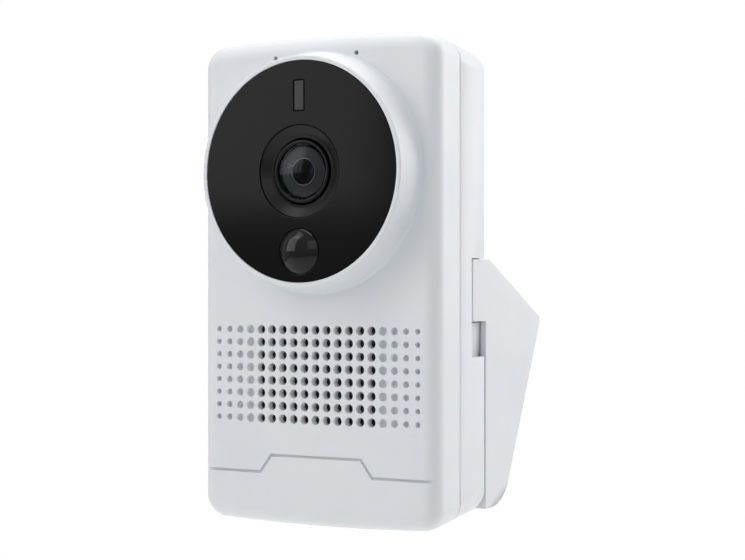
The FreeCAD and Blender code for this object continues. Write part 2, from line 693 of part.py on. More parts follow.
def make_rear_cover():
    body = new_body("rear_cover")
    corners = blank(body, "rear_front", "body_depth - rear_front")
    round_edges(body, "back_rounding", corners, at_depth(number("body_depth")), "back_edge")
    space = pocket(body, "rear_space", outline(
        sketch_on(body, "rear_outline", XZ_FRONT, "rear_front"), cavity_points("rear_rise")),
        "back_wall - rear_front")
    checked(body, space, False)
    root = pad(body, "lip_root", outline(
        sketch_on(body, "root_outline", XZ_FRONT, "rear_front"),
        cavity_points("front_rise", "-move_gap")), "lip_wall")
    checked(body, root, True)
    lip = pad(body, "lip", outline(
        sketch_on(body, "lip_outline", XZ_FRONT, "front_depth - lip_height"),
        cavity_points("front_rise", "close_fit")), "lip_height + seam_gap + lip_wall / 2")
    checked(body, lip, True)
    hollow = pocket(body, "lip_hollow", outline(
        sketch_on(body, "lip_inner", XZ_FRONT, "front_depth - lip_height - 1"),
        cavity_points("front_rise", "close_fit + lip_wall")),
        "lip_height + 1 + seam_gap + 2 * lip_wall")
    checked(body, hollow, False)
    for sign, low, high in (("right", "catch_x - boss_wall", "inner_x + 0.5"),
                            ("left", "-(inner_x + 0.5)", "-(catch_x - boss_wall)")):
        boss = pad(body, f"{sign}_boss", outline(
            sketch_on(body, f"{sign}_boss_outline", XZ_FRONT, "notch_front - boss_wall"),
            rectangle((low, high), ("notch_bottom - boss_wall", "notch_top + boss_wall"))),
            "back_wall - notch_front + boss_wall + 0.5")
        checked(body, boss, True)
    for places, start, name in ((HOUSING_SCREWS, "rear_front", "housing"),
                                (BOARD_SCREWS, "board_back", "board"),
                                (SENSOR_SCREWS, "sensor_back", "sensor")):
        posts = pad(body, f"{name}_posts", circles(
            sketch_on(body, f"{name}_post_circles", XZ_FRONT, start), places,
            "2 * post_radius"), f"back_wall - {start} + 0.5")
        checked(body, posts, True)
    for places, start, name in ((BOARD_SCREWS, "board_back", "board"),
                                (SENSOR_SCREWS, "sensor_back", "sensor")):
        pilots = pocket(body, f"{name}_pilots", circles(
            sketch_on(body, f"{name}_pilot_circles", XZ_FRONT, f"{start} - 1"), places,
            "2 * pilot_radius"), f"back_wall - {start}")
        checked(body, pilots, False)
    clear = pocket(body, "screw_holes", circles(
        sketch_on(body, "screw_circles", XZ_FRONT, "rear_front - 3"), HOUSING_SCREWS,
        "2 * (screw_shank + close_fit)"), "body_depth - rear_front + 4")
    checked(body, clear, False)
    sinks = pocket(body, "head_sinks", circles(
        sketch_on(body, "head_circles", XZ_FRONT, "body_depth + 1"), HOUSING_SCREWS,
        "2 * (screw_head + close_fit)"), "head_plate + 1.3", forwards=True)
    checked(body, sinks, False)
    for sign, low, high, groove, entry in (
            ("right", "notch_x", "half_width + 1", "catch_x", "notch_x + 0.5"),
            ("left", "-(half_width + 1)", "-notch_x", "-(notch_x + 0.5)", "-catch_x")):
        sides = (groove, entry)
        notch = pocket(body, f"{sign}_notch", outline(
            sketch_on(body, f"{sign}_notch_outline", XZ_FRONT, "notch_front"),
            rectangle((low, high), ("notch_bottom", "notch_top"))),
            "body_depth - notch_front + 1")
        checked(body, notch, False)
        catch = pocket(body, f"{sign}_catch", outline(
            sketch_on(body, f"{sign}_catch_outline", XZ_FRONT, "tab_front - move_gap"),
            rectangle(sides, ("hook_bottom - lift - move_gap", "notch_top"))),
            "hook_width + 2 * move_gap")
        checked(body, catch, False)
        entry_cut = pocket(body, f"{sign}_entry", outline(
            sketch_on(body, f"{sign}_entry_outline", XZ_FRONT, "tab_front"),
            rectangle(sides, ("hook_bottom - lift - move_gap", "hook_top - lift + move_gap"))),
            "body_depth - tab_front + 1")
        checked(body, entry_cut, False)
    back = "back_wall - 1"
    for name, x, z in (
            ("jack", ("-(jack_half + move_gap)", "jack_half + move_gap"),
             ("jack_bottom - move_gap", "jack_top + move_gap")),
            ("terminal", ("terminal_left - move_gap", "terminal_right + move_gap"),
             ("jack_bottom - move_gap", "terminal_top + move_gap"))):
        opening = pocket(body, f"{name}_opening", outline(
            sketch_on(body, f"{name}_opening_outline", XZ_FRONT, back), rectangle(x, z)),
            "shell_wall + 2")
        checked(body, opening, False)
    button = pocket(body, "button_hole", circles(
        sketch_on(body, "button_circle", XZ_FRONT, back), [("button_x", "button_z")],
        "2 * (button_radius + move_gap)"), "shell_wall + 2")
    checked(body, button, False)
    slot = pocket(body, "card_slot", outline(
        sketch_on(body, "card_slot_outline", "YZ_Plane", "-inner_x + 1"),
        rectangle(("card_front - move_gap", "card_back + move_gap"),
                  ("card_middle - card_half - move_gap", "card_middle + card_half + move_gap"))),
        "shell_wall + 2")
    checked(body, slot, False)
    node("rear_cover", body)


# ---- bracket ----

def face_sketch(body, name, y, z, turn):
    """A sketch on a slanting face: its centre, and its turn about X from level."""
    sketch = sketch_on(body, name, "XY_Plane")
    sketch.AttachmentOffset = FreeCAD.Placement(
        FreeCAD.Vector(), FreeCAD.Rotation(FreeCAD.Vector(-1, 0, 0), number(turn)))
    bind(sketch, "AttachmentOffset.Base.y", y)
    bind(sketch, "AttachmentOffset.Base.z", z)
    bind(sketch, "AttachmentOffset.Rotation.Angle", turn)
    return sketch


def make_bracket():
    """A hollow wedge, open to the camera, with its wall and ceiling faces square to each other."""
    body = new_body("mount_bracket")
    slope = "tan(wall_tilt)"
    foot_y = f"peak_y - (peak_z - bracket_bottom) * {slope}"
    profile = outline(sketch_on(body, "bracket_profile", "YZ_Plane"), [
        ("bracket_front", "bracket_bottom"), (foot_y, "bracket_bottom"), ("peak_y", "peak_z"),
        (f"peak_y - (tab_top - peak_z) / {slope}", "tab_top"), ("bracket_front", "tab_top")])
    solid = pad(body, "wedge", profile, "body_width", backwards=False)
    solid.Midplane = True
    foot = (number(foot_y), number("bracket_bottom"))
    peak = (number("peak_y"), number("peak_z"))

    def along_x(place):
        def chosen(edge):
            span = edge.BoundBox
            near = abs(span.YMin - place[0]) + abs(span.ZMin - place[1])
            return span.XLength > 10 and span.YLength + span.ZLength < 1e-3 and near < 1e-3
        return chosen
    bend = round_edges(body, "bottom_bend", solid, along_x(foot), "bracket_bend")
    round_edges(body, "peak_rounding", bend, along_x(peak), "peak_round")
    plate = "plate_wall / cos(wall_tilt)"
    inner_foot_z = "bracket_bottom + bracket_wall"
    inner_foot_y = f"peak_y - {plate} - (peak_z - ({inner_foot_z})) * {slope}"
    mouth = "bracket_front - 1"
    space = pocket(body, "cable_space", outline(
        sketch_on(body, "space_outline", "YZ_Plane"), [
            (mouth, inner_foot_z), (inner_foot_y, inner_foot_z),
            ("peak_y - plate_wall * (cos(wall_tilt) + sin(wall_tilt))",
             "peak_z + plate_wall * (sin(wall_tilt) - cos(wall_tilt))"),
            (mouth, f"peak_z + (peak_y - ({mouth})) * {slope} - {plate}")]),
        "body_width - 2 * bracket_wall")
    space.Midplane = True
    checked(body, space, False)
    inner = (number(inner_foot_y), number(inner_foot_z))
    round_edges(body, "inner_bend", space, along_x(inner), "bracket_bend - bracket_wall")
    for sign, tab_level, hook_level in (("right", "tab_inner", "hook_inner"),
                                        ("left", "-half_width", "-(tab_inner + 0.2)")):
        tab = pad(body, f"{sign}_tab", outline(
            sketch_on(body, f"{sign}_tab_outline", "YZ_Plane", tab_level),
            rectangle(("tab_front", "bracket_front + 1"), ("tab_bottom", "tab_top"))),
            "tab_plate", backwards=False)
        checked(body, tab, True)
        hook = pad(body, f"{sign}_hook", outline(
            sketch_on(body, f"{sign}_hook_outline", "YZ_Plane", hook_level),
            rectangle(("tab_front", "tab_front + hook_width"), ("hook_bottom", "hook_top"))),
            "hook_proud + 0.2", backwards=False)
        checked(body, hook, True)
    wall = circles(face_sketch(body, "wall_screw_circles", "wall_y", "wall_z", "90 + wall_tilt"),
                   [("screw_spread", "wall_screw_drop"), ("-screw_spread", "wall_screw_drop")],
                   "screw_bore")
    checked(body, pocket(body, "wall_screw_holes", wall, "plate_wall + 1"), False)
    ceiling = circles(face_sketch(
        body, "ceiling_screw_circles", "peak_y - ceiling_screw_reach * cos(wall_tilt)",
        "peak_z + ceiling_screw_reach * sin(wall_tilt)", "wall_tilt"),
        [("screw_spread", "0"), ("-screw_spread", "0")], "screw_bore")
    checked(body, pocket(body, "ceiling_screw_holes", ceiling, "plate_wall + 1"), False)
    passage = pocket(body, "cable_passage", outline(
        sketch_on(body, "passage_outline", XZ_FRONT, "peak_y + 2"),
        rectangle(("-passage_width / 2", "passage_width / 2"),
                  ("passage_bottom", "passage_top"))), "peak_y / 2 - 6", forwards=True)
    checked(body, passage, False)
    node("mount_bracket", body)


# ---- window, its inserts and what is right behind it ----

def make_window():
    disc = rod("window_disc", ("0", "eye_height"), "window_front", "window_back", "window_radius")
    through = ("window_front - 1", "window_back + 1")
    node("front_window", cut(
        "window_cut", disc,
        rod("window_lens_hole", ("0", "eye_height"), *through, "surround_radius + snug_fit"),
        rod("window_detector_hole", ("0", "detector_height"), *through,
            "detector_radius + snug_fit"),
        box("window_slot", ("-(slot_width / 2 + snug_fit)", "slot_width / 2 + snug_fit"), through,
            ("slot_middle - slot_height / 2 - snug_fit", "slot_middle + slot_height / 2 + snug_fit"))))
    node("window_gasket", ring("gasket_ring", ("0", "eye_height"), "window_back", "ledge_front",
                               "window_radius - snug_fit", "ledge_bore"))
    node("ir_window", join(
        "ir_window_join",
        box("ir_window_plug", ("-slot_width / 2", "slot_width / 2"), ("window_front", "window_back"),
            ("slot_middle - slot_height / 2", "slot_middle + slot_height / 2")),
        box("ir_window_flange", ("-slot_width / 2 - flange_width", "slot_width / 2 + flange_width"),
            ("window_back", "window_back + flange_plate"),
            ("slot_middle - slot_height / 2 - flange_width",
             "slot_middle + slot_height / 2 + flange_width"))))
    dome = "detector_dome"
    turned("detector_lens", [
        (f"window_front - {dome}", "0"), ("window_front", "detector_radius", "dome"),
        ("window_back", "detector_radius"), ("window_back", "detector_radius + flange_width"),
        ("window_back + flange_plate", "detector_radius + flange_width"),
        ("window_back + flange_plate", "detector_radius - detector_wall"),
        ("window_front + 0.4", "detector_radius - detector_wall"),
        (f"window_front - {dome} + detector_wall", "0", "dome")], z="detector_height")
    turned("lens_surround", [
        ("window_front + 0.1", "surround_radius"), ("window_front + 1.6", "surround_bore + 0.7"),
        ("window_front + 1.3", "surround_bore + 0.3"), ("window_front + 1.6", "surround_bore"),
        ("window_front + 3.8", "surround_bore"), ("window_front + 3.8", "surround_bore + 1"),
        ("window_back + flange_plate", "surround_bore + 1"),
        ("window_back + flange_plate", "surround_radius + flange_width"),
        ("window_back", "surround_radius + flange_width"), ("window_back", "surround_radius")])
    node("front_board", cut(
        "front_board_cut",
        rod("front_board_disc", ("0", "eye_height"), "front_board_front", "front_board_back",
            "ledge_bore - snug_fit"),
        rod("front_board_hole", ("0", "eye_height"), "front_board_front - 1",
            "front_board_back + 1", "surround_bore + 1.8")))
    node("ir_leds", group("ir_led_pair", *[
        box(f"ir_led_{name}", ("-1", "1"), ("front_board_front - 1", "front_board_front"),
            (f"slot_middle {shift} - 1", f"slot_middle {shift} + 1"))
        for name, shift in (("low", "- slot_height / 4"), ("high", "+ slot_height / 4"))]))
    reach = "(slot_height / 2 + flange_width)"
    node("ir_baffle", cut(
        "ir_baffle_cut",
        box("ir_baffle_block", ("-slot_width / 2 - flange_width", "slot_width / 2 + flange_width"),
            ("window_back + flange_plate", "front_board_front"),
            (f"slot_middle - {reach}", f"slot_middle + {reach}")),
        box("ir_baffle_hole", ("-slot_width / 2", "slot_width / 2"),
            ("window_back", "front_board_front + 1"),
            (f"slot_middle - {reach} + 0.8", f"slot_middle + {reach} - 0.8"))))
    node("motion_sensor", rod("motion_can", ("0", "detector_height"),
                              "front_board_front - 1.8", "front_board_front", "detector_radius / 2"))


# ---- lens ----

def make_lens():
    turned("lens_barrel", [
        ("barrel_front + 0.3", "barrel_head"), ("barrel_front", "barrel_head - 0.3"),
        ("barrel_front", "front_glass_radius + 0.2"),
        ("barrel_front + 0.15", "front_glass_radius + snug_fit"),
        ("glass_seat", "front_glass_radius + snug_fit"), ("glass_seat", "barrel_bore"),
        ("barrel_back", "barrel_bore"), ("barrel_back", "barrel_thread"),
        ("glass_seat + 1.4", "barrel_thread"), ("glass_seat + 1.4", "barrel_head")])
    turned("front_glass", [
        ("barrel_front + 0.4 - front_glass_rise", "0"),
        ("barrel_front + 0.4", "front_glass_radius", "dome"),
        ("glass_seat", "front_glass_radius"), ("glass_seat", "4.4"),
        ("glass_seat - 2.1", "0", "dome")])
    turned("lens_retainer", [
        ("glass_seat + 0.1", "barrel_bore - snug_fit"), ("glass_seat + 0.1", "retainer_bore + 0.3"),
        ("glass_seat + 0.9", "retainer_bore"), ("glass_seat + 1.1", "retainer_bore"),
        ("glass_seat + 1.1", "barrel_bore - snug_fit")])
    edge = "barrel_bore - snug_fit"
    clear = "barrel_bore - 0.6"
    turned("middle_glass", [
        ("glass_seat + 0.7", "0"), ("glass_seat + 1.1", "retainer_bore - 0.1", "dome"),
        ("glass_seat + 1.1", edge), ("glass_seat + 3.6", edge), ("glass_seat + 3.6", clear),
        ("glass_seat + 4.3", "0", "dome")])
    turned("lens_spacer", [
        ("glass_seat + 3.6", "barrel_bore - 0.5"), ("glass_seat + 3.6", edge),
        ("glass_seat + 5.4", edge), ("glass_seat + 5.4", "barrel_bore - 0.5")])
    turned("rear_glass", [
        ("glass_seat + 4.7", "0"), ("glass_seat + 5.4", clear, "dome"), ("glass_seat + 5.4", edge),
        ("glass_seat + 8.6", edge),
        ("glass_seat + 9.3", "0", "dome")])
    node("lens_lock_ring", ring("lock_ring", ("0", "eye_height"), "holder_front - 1.2",
                                "holder_front", "barrel_thread + 1.6", "barrel_thread + snug_fit"))
    reach = ("eye_height - holder_half", "eye_height + holder_half")
    node("lens_holder", cut(
        "holder_cut",
        box("holder_block", ("-holder_half", "holder_half"), ("holder_front", "holder_back"), reach),
        rod("holder_bore", ("0", "eye_height"), "holder_front - 1", "holder_back + 1",
            "barrel_thread + snug_fit")))


# ---- filter changer ----

def make_filter_changer():
    half_swing = "arm_swing / 2"
    carriage_left = "-carriage_half"
    carriage_right = "carriage_half + filter_travel"
    centre_x = "filter_travel / 2"
    slot_low = "rotor_z - arm_length - pin_radius - move_gap"
    ear_top = f"rotor_z - arm_length * cos({half_swing}) + 1.2"
    node("filter_housing", cut(
        "housing_cut",
        box("housing_block", ("-(filter_travel + 5.6)", "filter_travel + 5.6"),
            ("holder_back", "filter_back"), ("eye_height - holder_half", "rotor_z + 4.4")),
        box("housing_track", ("-(filter_travel + carriage_half + move_gap)",
                              "filter_travel + carriage_half + move_gap"),
            ("carriage_front - move_gap", "carriage_back + move_gap"),
            ("eye_height - carriage_half - move_gap", "eye_height + carriage_half + move_gap")),
        box("housing_window", ("-(filter_half + 0.6)", "filter_half + 0.6"),
            ("holder_back - 1", "filter_back + 1"),
            ("eye_height - filter_half", "eye_height + filter_half")),
        box("housing_arm_space", ("-(arm_length + 2)", "arm_length + 2"),
            ("holder_back - 1", "carriage_back + move_gap"),
            ("eye_height + carriage_half", "rotor_z + 2.6"))))
    openings = []
    for name, x in (("cut", "0"), ("clear", "filter_travel")):
        span = (f"{x} - filter_half + 0.3", f"{x} + filter_half - 0.3")
        height = ("eye_height - filter_half + 0.3", "eye_height + filter_half - 0.3")
        openings.append(box(f"carriage_{name}_opening", span,
                            ("carriage_front - 1", "carriage_back + 1"), height))
        pane = box(f"{name}_pane", (f"{x} - filter_half + 0.4", f"{x} + filter_half - 0.4"),
                   ("carriage_front + 0.2", "carriage_back - 0.2"),
                   ("eye_height - filter_half + 0.4", "eye_height + filter_half - 0.4"))
        node("cut_filter" if name == "cut" else "clear_filter", pane)
    ear_half = "pin_radius + pin_slack + 0.9"
    fork_half = "pin_radius + pin_slack"
    node("filter_carriage", cut(
        "carriage_cut",
        join("carriage_join",
             box("carriage_plate_block", (carriage_left, carriage_right),
                 ("carriage_front", "carriage_back"),
                 ("eye_height - carriage_half", "eye_height + carriage_half")),
             box("carriage_ear", (f"{centre_x} - ({ear_half})", f"{centre_x} + {ear_half}"),
                 ("carriage_front", "carriage_back"), ("eye_height + carriage_half - 0.5", ear_top))),
        box("carriage_fork", (f"{centre_x} - ({fork_half})", f"{centre_x} + {fork_half}"),
            ("carriage_front - 1", "carriage_back + 1"), (slot_low, f"{ear_top} + 1")),
        *openings))
    arm_front, arm_back = "holder_back + 0.2", "carriage_front - move_gap"
    pin = (f"arm_length * sin({half_swing})", f"rotor_z - arm_length * cos({half_swing})")
    bar = doc.addObject("Part::Box", "arm_bar")
    bind(bar, "Length", "arm_width")
    bind(bar, "Width", f"({arm_back}) - ({arm_front})")
    bind(bar, "Height", "arm_length")
    bar.Placement = FreeCAD.Placement(
        FreeCAD.Vector(), FreeCAD.Rotation(FreeCAD.Vector(0, -1, 0), number(half_swing)))
    bind(bar, "Placement.Rotation.Angle", half_swing)
    put(bar, f"arm_length * sin({half_swing}) - arm_width / 2 * cos({half_swing})", arm_front,
        f"rotor_z - arm_length * cos({half_swing}) - arm_width / 2 * sin({half_swing})")
    node("filter_rotor", join(
        "rotor_join",
        rod("rotor_magnet", ("0", "rotor_z"), "holder_front + 0.6", arm_back, "rotor_radius"),
        bar,
        rod("arm_tip", pin, arm_front, arm_back, "arm_width * 0.7"),
        rod("arm_pin", pin, arm_front, "carriage_back - 0.1", "pin_radius")))
    node("filter_coil", cut(
        "coil_cut",
        box("coil_block", ("-(rotor_radius + 2.2)", "rotor_radius + 2.2"),
            ("holder_front + 0.2", "holder_back"),
            ("rotor_z - rotor_radius - 1.6", "rotor_z + rotor_radius + 1.8")),
        rod("coil_bore", ("0", "rotor_z"), "holder_front - 1", "holder_back + 1",
            "rotor_radius + move_gap")))
    node("image_sensor", box("sensor_die", ("-3.5", "3.5"), ("filter_back - 1", "filter_back"),
                             ("eye_height - 2.7", "eye_height + 2.7")))
    node("sensor_board", cut(
        "sensor_board_cut",
        box("sensor_board_block", ("-sensor_half", "sensor_half"), ("filter_back", "sensor_back"),
            ("sensor_bottom", "sensor_top")),
        *[rod(f"sensor_board_hole_{index}", place, "filter_back - 1", "sensor_back + 1",
              "screw_shank + close_fit") for index, place in enumerate(SENSOR_SCREWS)]))
    node("sensor_screws", group("sensor_screw_set", *screws("sensor", SENSOR_SCREWS, "filter_back", 1)))
    ribbon = new_body("sensor_ribbon")
    run = "0.2"
    strip = outline(sketch_on(ribbon, "ribbon_profile", "YZ_Plane"), [
        ("sensor_back", "sensor_bottom + 7"), (f"sensor_back + {run}", "sensor_bottom + 7"),
        (f"sensor_back + {run}", "sensor_bottom - 0.6"), (f"board_back + {run}", "sensor_bottom - 4.1"),
        (f"board_back + {run}", "sensor_bottom - 9"), ("board_back", "sensor_bottom - 9"),
        ("board_back", "sensor_bottom - 3.9"), ("sensor_back", "sensor_bottom - 0.4")])
    pad(ribbon, "ribbon_pad", strip, "8", backwards=False).Midplane = True
    node("sensor_ribbon", ribbon)


def screws(name, places, seat, towards):
    """Screws along Y whose heads sit at seat; towards is 1 for a shank that points to +Y."""
    made = []
    for index, place in enumerate(places):
        head = (f"{seat} - head_plate", seat) if towards > 0 else (seat, f"{seat} + head_plate")
        shank = (seat, f"{seat} + short_shank") if towards > 0 else (
            "front_depth - housing_screw_bite", seat)
        bolt = join(f"{name}_screw_{index}",
                    rod(f"{name}_head_{index}", place, *head, "screw_head"),
                    rod(f"{name}_shank_{index}", place, *shank, "screw_shank"))
        recess = box(f"{name}_drive_{index}", (f"{place[0]} - 0.9", f"{place[0]} + 0.9"),
                     (f"{head[0]} - 0.5", f"{head[0]} + 0.5") if towards > 0 else
                     (f"{head[1]} - 0.5", f"{head[1]} + 0.5"),
                     (f"{place[1]} - 0.25", f"{place[1]} + 0.25"))
        made.append(cut(f"{name}_screw_cut_{index}", bolt, recess))
    return made


# ---- microphones and speaker ----

def make_sound():
    depth = "shell_wall + 1.4"
    boots, ears = [], []
    for name, sign in (("left", "-"), ("right", "")):
        place = (f"{sign}microphone_x", "microphone_z")
        boots.append(ring(f"boot_{name}", place, "shell_wall", depth, "bay_rise - 0.2",
                          "microphone_hole / 2"))
        ears.append(box(f"ear_{name}", (f"{sign}microphone_x - 1.75", f"{sign}microphone_x + 1.75"),
                        (depth, f"{depth} + 1.2"), ("microphone_z - 1.3", "microphone_z + 1.3")))
    node("microphone_boots", group("boot_pair", *boots))
    node("microphones", group("ear_pair", *ears))
    node("microphone_board", box(
        "ear_board", ("-(microphone_x + 3.5)", "microphone_x + 3.5"),
        (f"{depth} + 1.2", f"{depth} + 2"), ("microphone_z - 3.2", "microphone_z + bay_rise - 0.2")))
    node("grille_cloth", box(
        "cloth", ("-5.8 * grille_pitch", "5.8 * grille_pitch"), ("shell_wall", "speaker_seat"),
        ("grille_middle - 4.4 * grille_pitch", "grille_middle + 4.4 * grille_pitch")))
    middle = ("0", "grille_middle")
    node("speaker_gasket", ring("speaker_seal", middle, "speaker_seat", "speaker_front",
                                "speaker_radius", "speaker_radius - speaker_lip"))
    front = "speaker_front"
    wall = "speaker_radius - speaker_lip"
    turned("speaker_frame", [
        (front, "speaker_radius"), (front, wall), (f"{front} + 2", wall), (f"{front} + 3.6", "7.6"),
        (f"{front} + 3.6", "coil_radius + 0.45"), (f"{front} + 4.2", "coil_radius + 0.45"),
        (f"{front} + 4.2", "8.0"),
        (f"{front} + 2.4", f"{wall} + 0.7"), (f"{front} + 0.8", f"{wall} + 0.7"),
        (f"{front} + 0.8", "speaker_radius")], z="grille_middle")
    turned("speaker_magnet", [
        (f"{front} + 4.2", "magnet_radius"), (f"{front} + 4.2", "coil_radius + move_gap"),
        (f"{front} + 6.1", "coil_radius + move_gap"),
        (f"{front} + 6.1", "coil_radius - coil_wall - move_gap"),
        (f"{front} + 4", "coil_radius - coil_wall - move_gap"), (f"{front} + 4", "0"),
        (f"{front} + speaker_depth", "0"), (f"{front} + speaker_depth", "magnet_radius")],
        z="grille_middle")
    rim = "speaker_radius - 3.4"
    turned("speaker_cone", [
        (f"{front} + 1.2", "0"), (f"{front} + 2.2", "coil_radius + 0.15", "dome"),
        (f"{front} + 0.6", rim), (f"{front} + 0.9", rim), (f"{front} + 2.5", "coil_radius"),
        (f"{front} + 1.5", "0", "dome")],
        z="grille_middle")
    turned("speaker_surround", [
        (f"{front} + 0.6", rim), (f"{front} + 0.25", f"{rim} + 0.3"), (f"{front} + 0.15", f"{rim} + 0.7"),
        (f"{front} + 0.25", f"{rim} + 1.1"), (f"{front} + 0.6", f"{rim} + 1.4"),
        (f"{front} + 0.9", f"{rim} + 1.4"), (f"{front} + 0.5", f"{rim} + 0.7"),
        (f"{front} + 0.9", rim)], z="grille_middle")
    node("voice_coil", ring("coil_tube", middle, f"{front} + 2.5", f"{front} + 5.3", "coil_radius",
                            "coil_radius - coil_wall"))
    node("speaker_leads", group("lead_pair", *[
        rod(f"lead_{name}", (x, "grille_middle + speaker_radius - 0.5"), f"{front} + 0.8",
            "board_front", "0.4") for name, x in (("left", "-1.2"), ("right", "1.2"))]))


# ---- electronics on the main board ----

def make_electronics():
    node("main_board", cut(
        "main_board_cut",
        box("main_board_block", ("-board_half", "board_half"), ("board_front", "board_back"),
            ("board_bottom", "board_top")),
        *[rod(f"main_board_hole_{index}", place, "board_front - 1", "board_back + 1",
              "screw_shank + close_fit") for index, place in enumerate(BOARD_SCREWS)]))
    node("board_screws", group("board_screw_set", *screws("board", BOARD_SCREWS, "board_front", 1)))
    node("housing_screws", group(
        "housing_screw_set",
        *screws("housing", HOUSING_SCREWS, "body_depth - head_plate - 0.3", -1)))
    node("processor", box("processor_block", ("-chip_half", "chip_half"),
                          ("board_back", "chip_back"),
                          ("chip_middle - chip_half", "chip_middle + chip_half")))
    node("thermal_pad", box("pad_block", ("-pad_half", "pad_half"), ("chip_back", "pad_back"),
                            ("chip_middle - pad_half", "chip_middle + pad_half")))
    node("heat_spreader", box("spreader_block", ("-spreader_width / 2", "spreader_width / 2"),
                              ("pad_back", "pad_back + spreader_plate"),
                              ("chip_middle - spreader_height / 2",
                               "chip_middle + spreader_height / 2")))
    latch = box("jack_latch", ("-latch_width / 2", "latch_width / 2"),
                ("board_back + jack_rear_wall", "jack_back + 1"),
                ("plug_bottom - latch_drop", "plug_bottom + 1"))
    node("network_jack", cut(
        "jack_cut",
        box("jack_block", ("-jack_half", "jack_half"), ("board_back", "jack_back"),
            ("jack_bottom", "jack_top")),
        box("jack_mouth", ("-plug_half", "plug_half"), ("board_back + jack_rear_wall", "jack_back + 1"),
            ("plug_bottom", "plug_top")), latch))
    node("jack_contacts", group("contact_set", *[
        box(f"contact_{index}",
            (f"{index - 3.5} * contact_pitch - contact_width / 2",
             f"{index - 3.5} * contact_pitch + contact_width / 2"),
            ("board_back + jack_rear_wall", "jack_back - 3"), ("plug_top - 0.5", "plug_top"))
        for index in range(8)]))
    node("network_transformer", box("transformer_block", ("-jack_half", "jack_half"),
                                    ("board_back", "board_back + transformer_depth"),
                                    ("jack_top + transformer_gap",
                                     "jack_top + transformer_gap + transformer_height")))
    node("io_terminal", cut(
        "terminal_cut",
        box("terminal_block", ("terminal_left", "terminal_right"), ("board_back", "jack_back"),
            ("jack_bottom", "terminal_top")),
        *[rod(f"terminal_hole_{index}",
              (f"(terminal_left + terminal_right) / 2 + {index - 1.5} * terminal_pitch",
               "jack_bottom + terminal_rise / 2"), "jack_back - terminal_depth", "jack_back + 1",
              "terminal_entry / 2")
          for index in range(4)]))
    node("card_socket", cut(
        "socket_cut",
        box("socket_block", ("-board_half", "card_outer + card_length + socket_end"),
            ("board_back", "card_back + socket_roof"),
            ("card_middle - card_half - socket_wall", "card_middle + card_half + socket_wall")),
        box("socket_mouth", ("-board_half - 1", "card_outer + card_length + move_gap"),
            ("card_front - move_gap", "card_back + move_gap"),
            ("card_middle - card_half - move_gap", "card_middle + card_half + move_gap"))))
    node("memory_card", box("card_block", ("card_outer", "card_outer + card_length"),
                            ("card_front", "card_back"),
                            ("card_middle - card_half", "card_middle + card_half")))
    node("button_switch", box("switch_block", ("button_x - switch_half", "button_x + switch_half"),
                              ("board_back", "switch_back"),
                              ("button_z - switch_half", "button_z + switch_half")))
    place = ("button_x", "button_z")
    node("control_button", join(
        "button_join",
        rod("button_stem", place, "switch_back + button_travel + close_fit", "body_depth - button_sink",
            "button_radius"),
        rod("button_collar", place, "back_wall - move_gap - collar_plate", "back_wall - move_gap",
            "button_radius + collar_width")))
    node("blank_label", box(
        "label_block", ("-label_width / 2", "label_width / 2"), ("body_depth", "body_depth + label_film"),
        ("body_height - label_drop - label_height", "body_height - label_drop")))


def main():
    make_front_cover()
    make_rear_cover()
    make_bracket()
    make_window()
    make_lens()
    make_filter_changer()
    make_sound()
    make_electronics()
    doc.recompute()
    for item in doc.Objects:
        if "Invalid" in item.State or "Error" in item.State:
            raise RuntimeError(f"{item.Name} failed: {item.State}")
    for piece in nodes:
        if piece.Shape.isNull() or not piece.Shape.isValid() or not piece.Shape.Solids:
            raise RuntimeError(f"{piece.Label} has no valid solid")
    os.makedirs("parts", exist_ok=True)
    for piece in nodes:
        piece.Shape.exportStep(os.path.join("parts", f"{piece.Label}.step"))
        print(f"{piece.Label}: {len(piece.Shape.Solids)} solid(s), {piece.Shape.Volume:.1f} mm3")
    print(len(nodes), "nodes")


main()
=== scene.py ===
import json
import logging
import math
from dataclasses import dataclass, field
from enum import Enum
from typing import Callable

import bmesh
import bpy
import numpy as np
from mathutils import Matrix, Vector
from mathutils.geometry import delaunay_2d_cdt


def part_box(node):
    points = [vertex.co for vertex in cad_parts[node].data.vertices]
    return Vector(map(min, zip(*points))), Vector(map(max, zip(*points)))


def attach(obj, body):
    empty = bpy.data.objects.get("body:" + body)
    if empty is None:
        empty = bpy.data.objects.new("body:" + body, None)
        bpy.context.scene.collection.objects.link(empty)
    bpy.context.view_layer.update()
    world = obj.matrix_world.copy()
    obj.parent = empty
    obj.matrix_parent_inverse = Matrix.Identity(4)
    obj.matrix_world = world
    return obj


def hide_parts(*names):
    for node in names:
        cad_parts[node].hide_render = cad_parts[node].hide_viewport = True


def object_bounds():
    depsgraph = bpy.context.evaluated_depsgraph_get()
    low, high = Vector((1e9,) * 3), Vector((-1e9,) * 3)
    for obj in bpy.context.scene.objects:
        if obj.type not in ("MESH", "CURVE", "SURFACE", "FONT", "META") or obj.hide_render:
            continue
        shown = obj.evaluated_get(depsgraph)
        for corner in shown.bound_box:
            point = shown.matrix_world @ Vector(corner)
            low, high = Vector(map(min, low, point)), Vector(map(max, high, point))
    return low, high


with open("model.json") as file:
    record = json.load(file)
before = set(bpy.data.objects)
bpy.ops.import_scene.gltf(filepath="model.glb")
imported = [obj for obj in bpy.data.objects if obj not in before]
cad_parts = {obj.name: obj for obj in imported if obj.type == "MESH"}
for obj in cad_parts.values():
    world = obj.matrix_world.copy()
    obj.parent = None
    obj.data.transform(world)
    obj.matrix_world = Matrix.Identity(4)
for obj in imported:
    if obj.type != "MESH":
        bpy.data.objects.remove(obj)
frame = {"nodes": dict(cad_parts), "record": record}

# A small indoor security camera on its wedge bracket. Lengths in this file are millimetres in
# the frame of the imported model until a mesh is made. Places come from the model's own boxes,
# and what the boxes don't tell is a named value beside the pieces that use it.

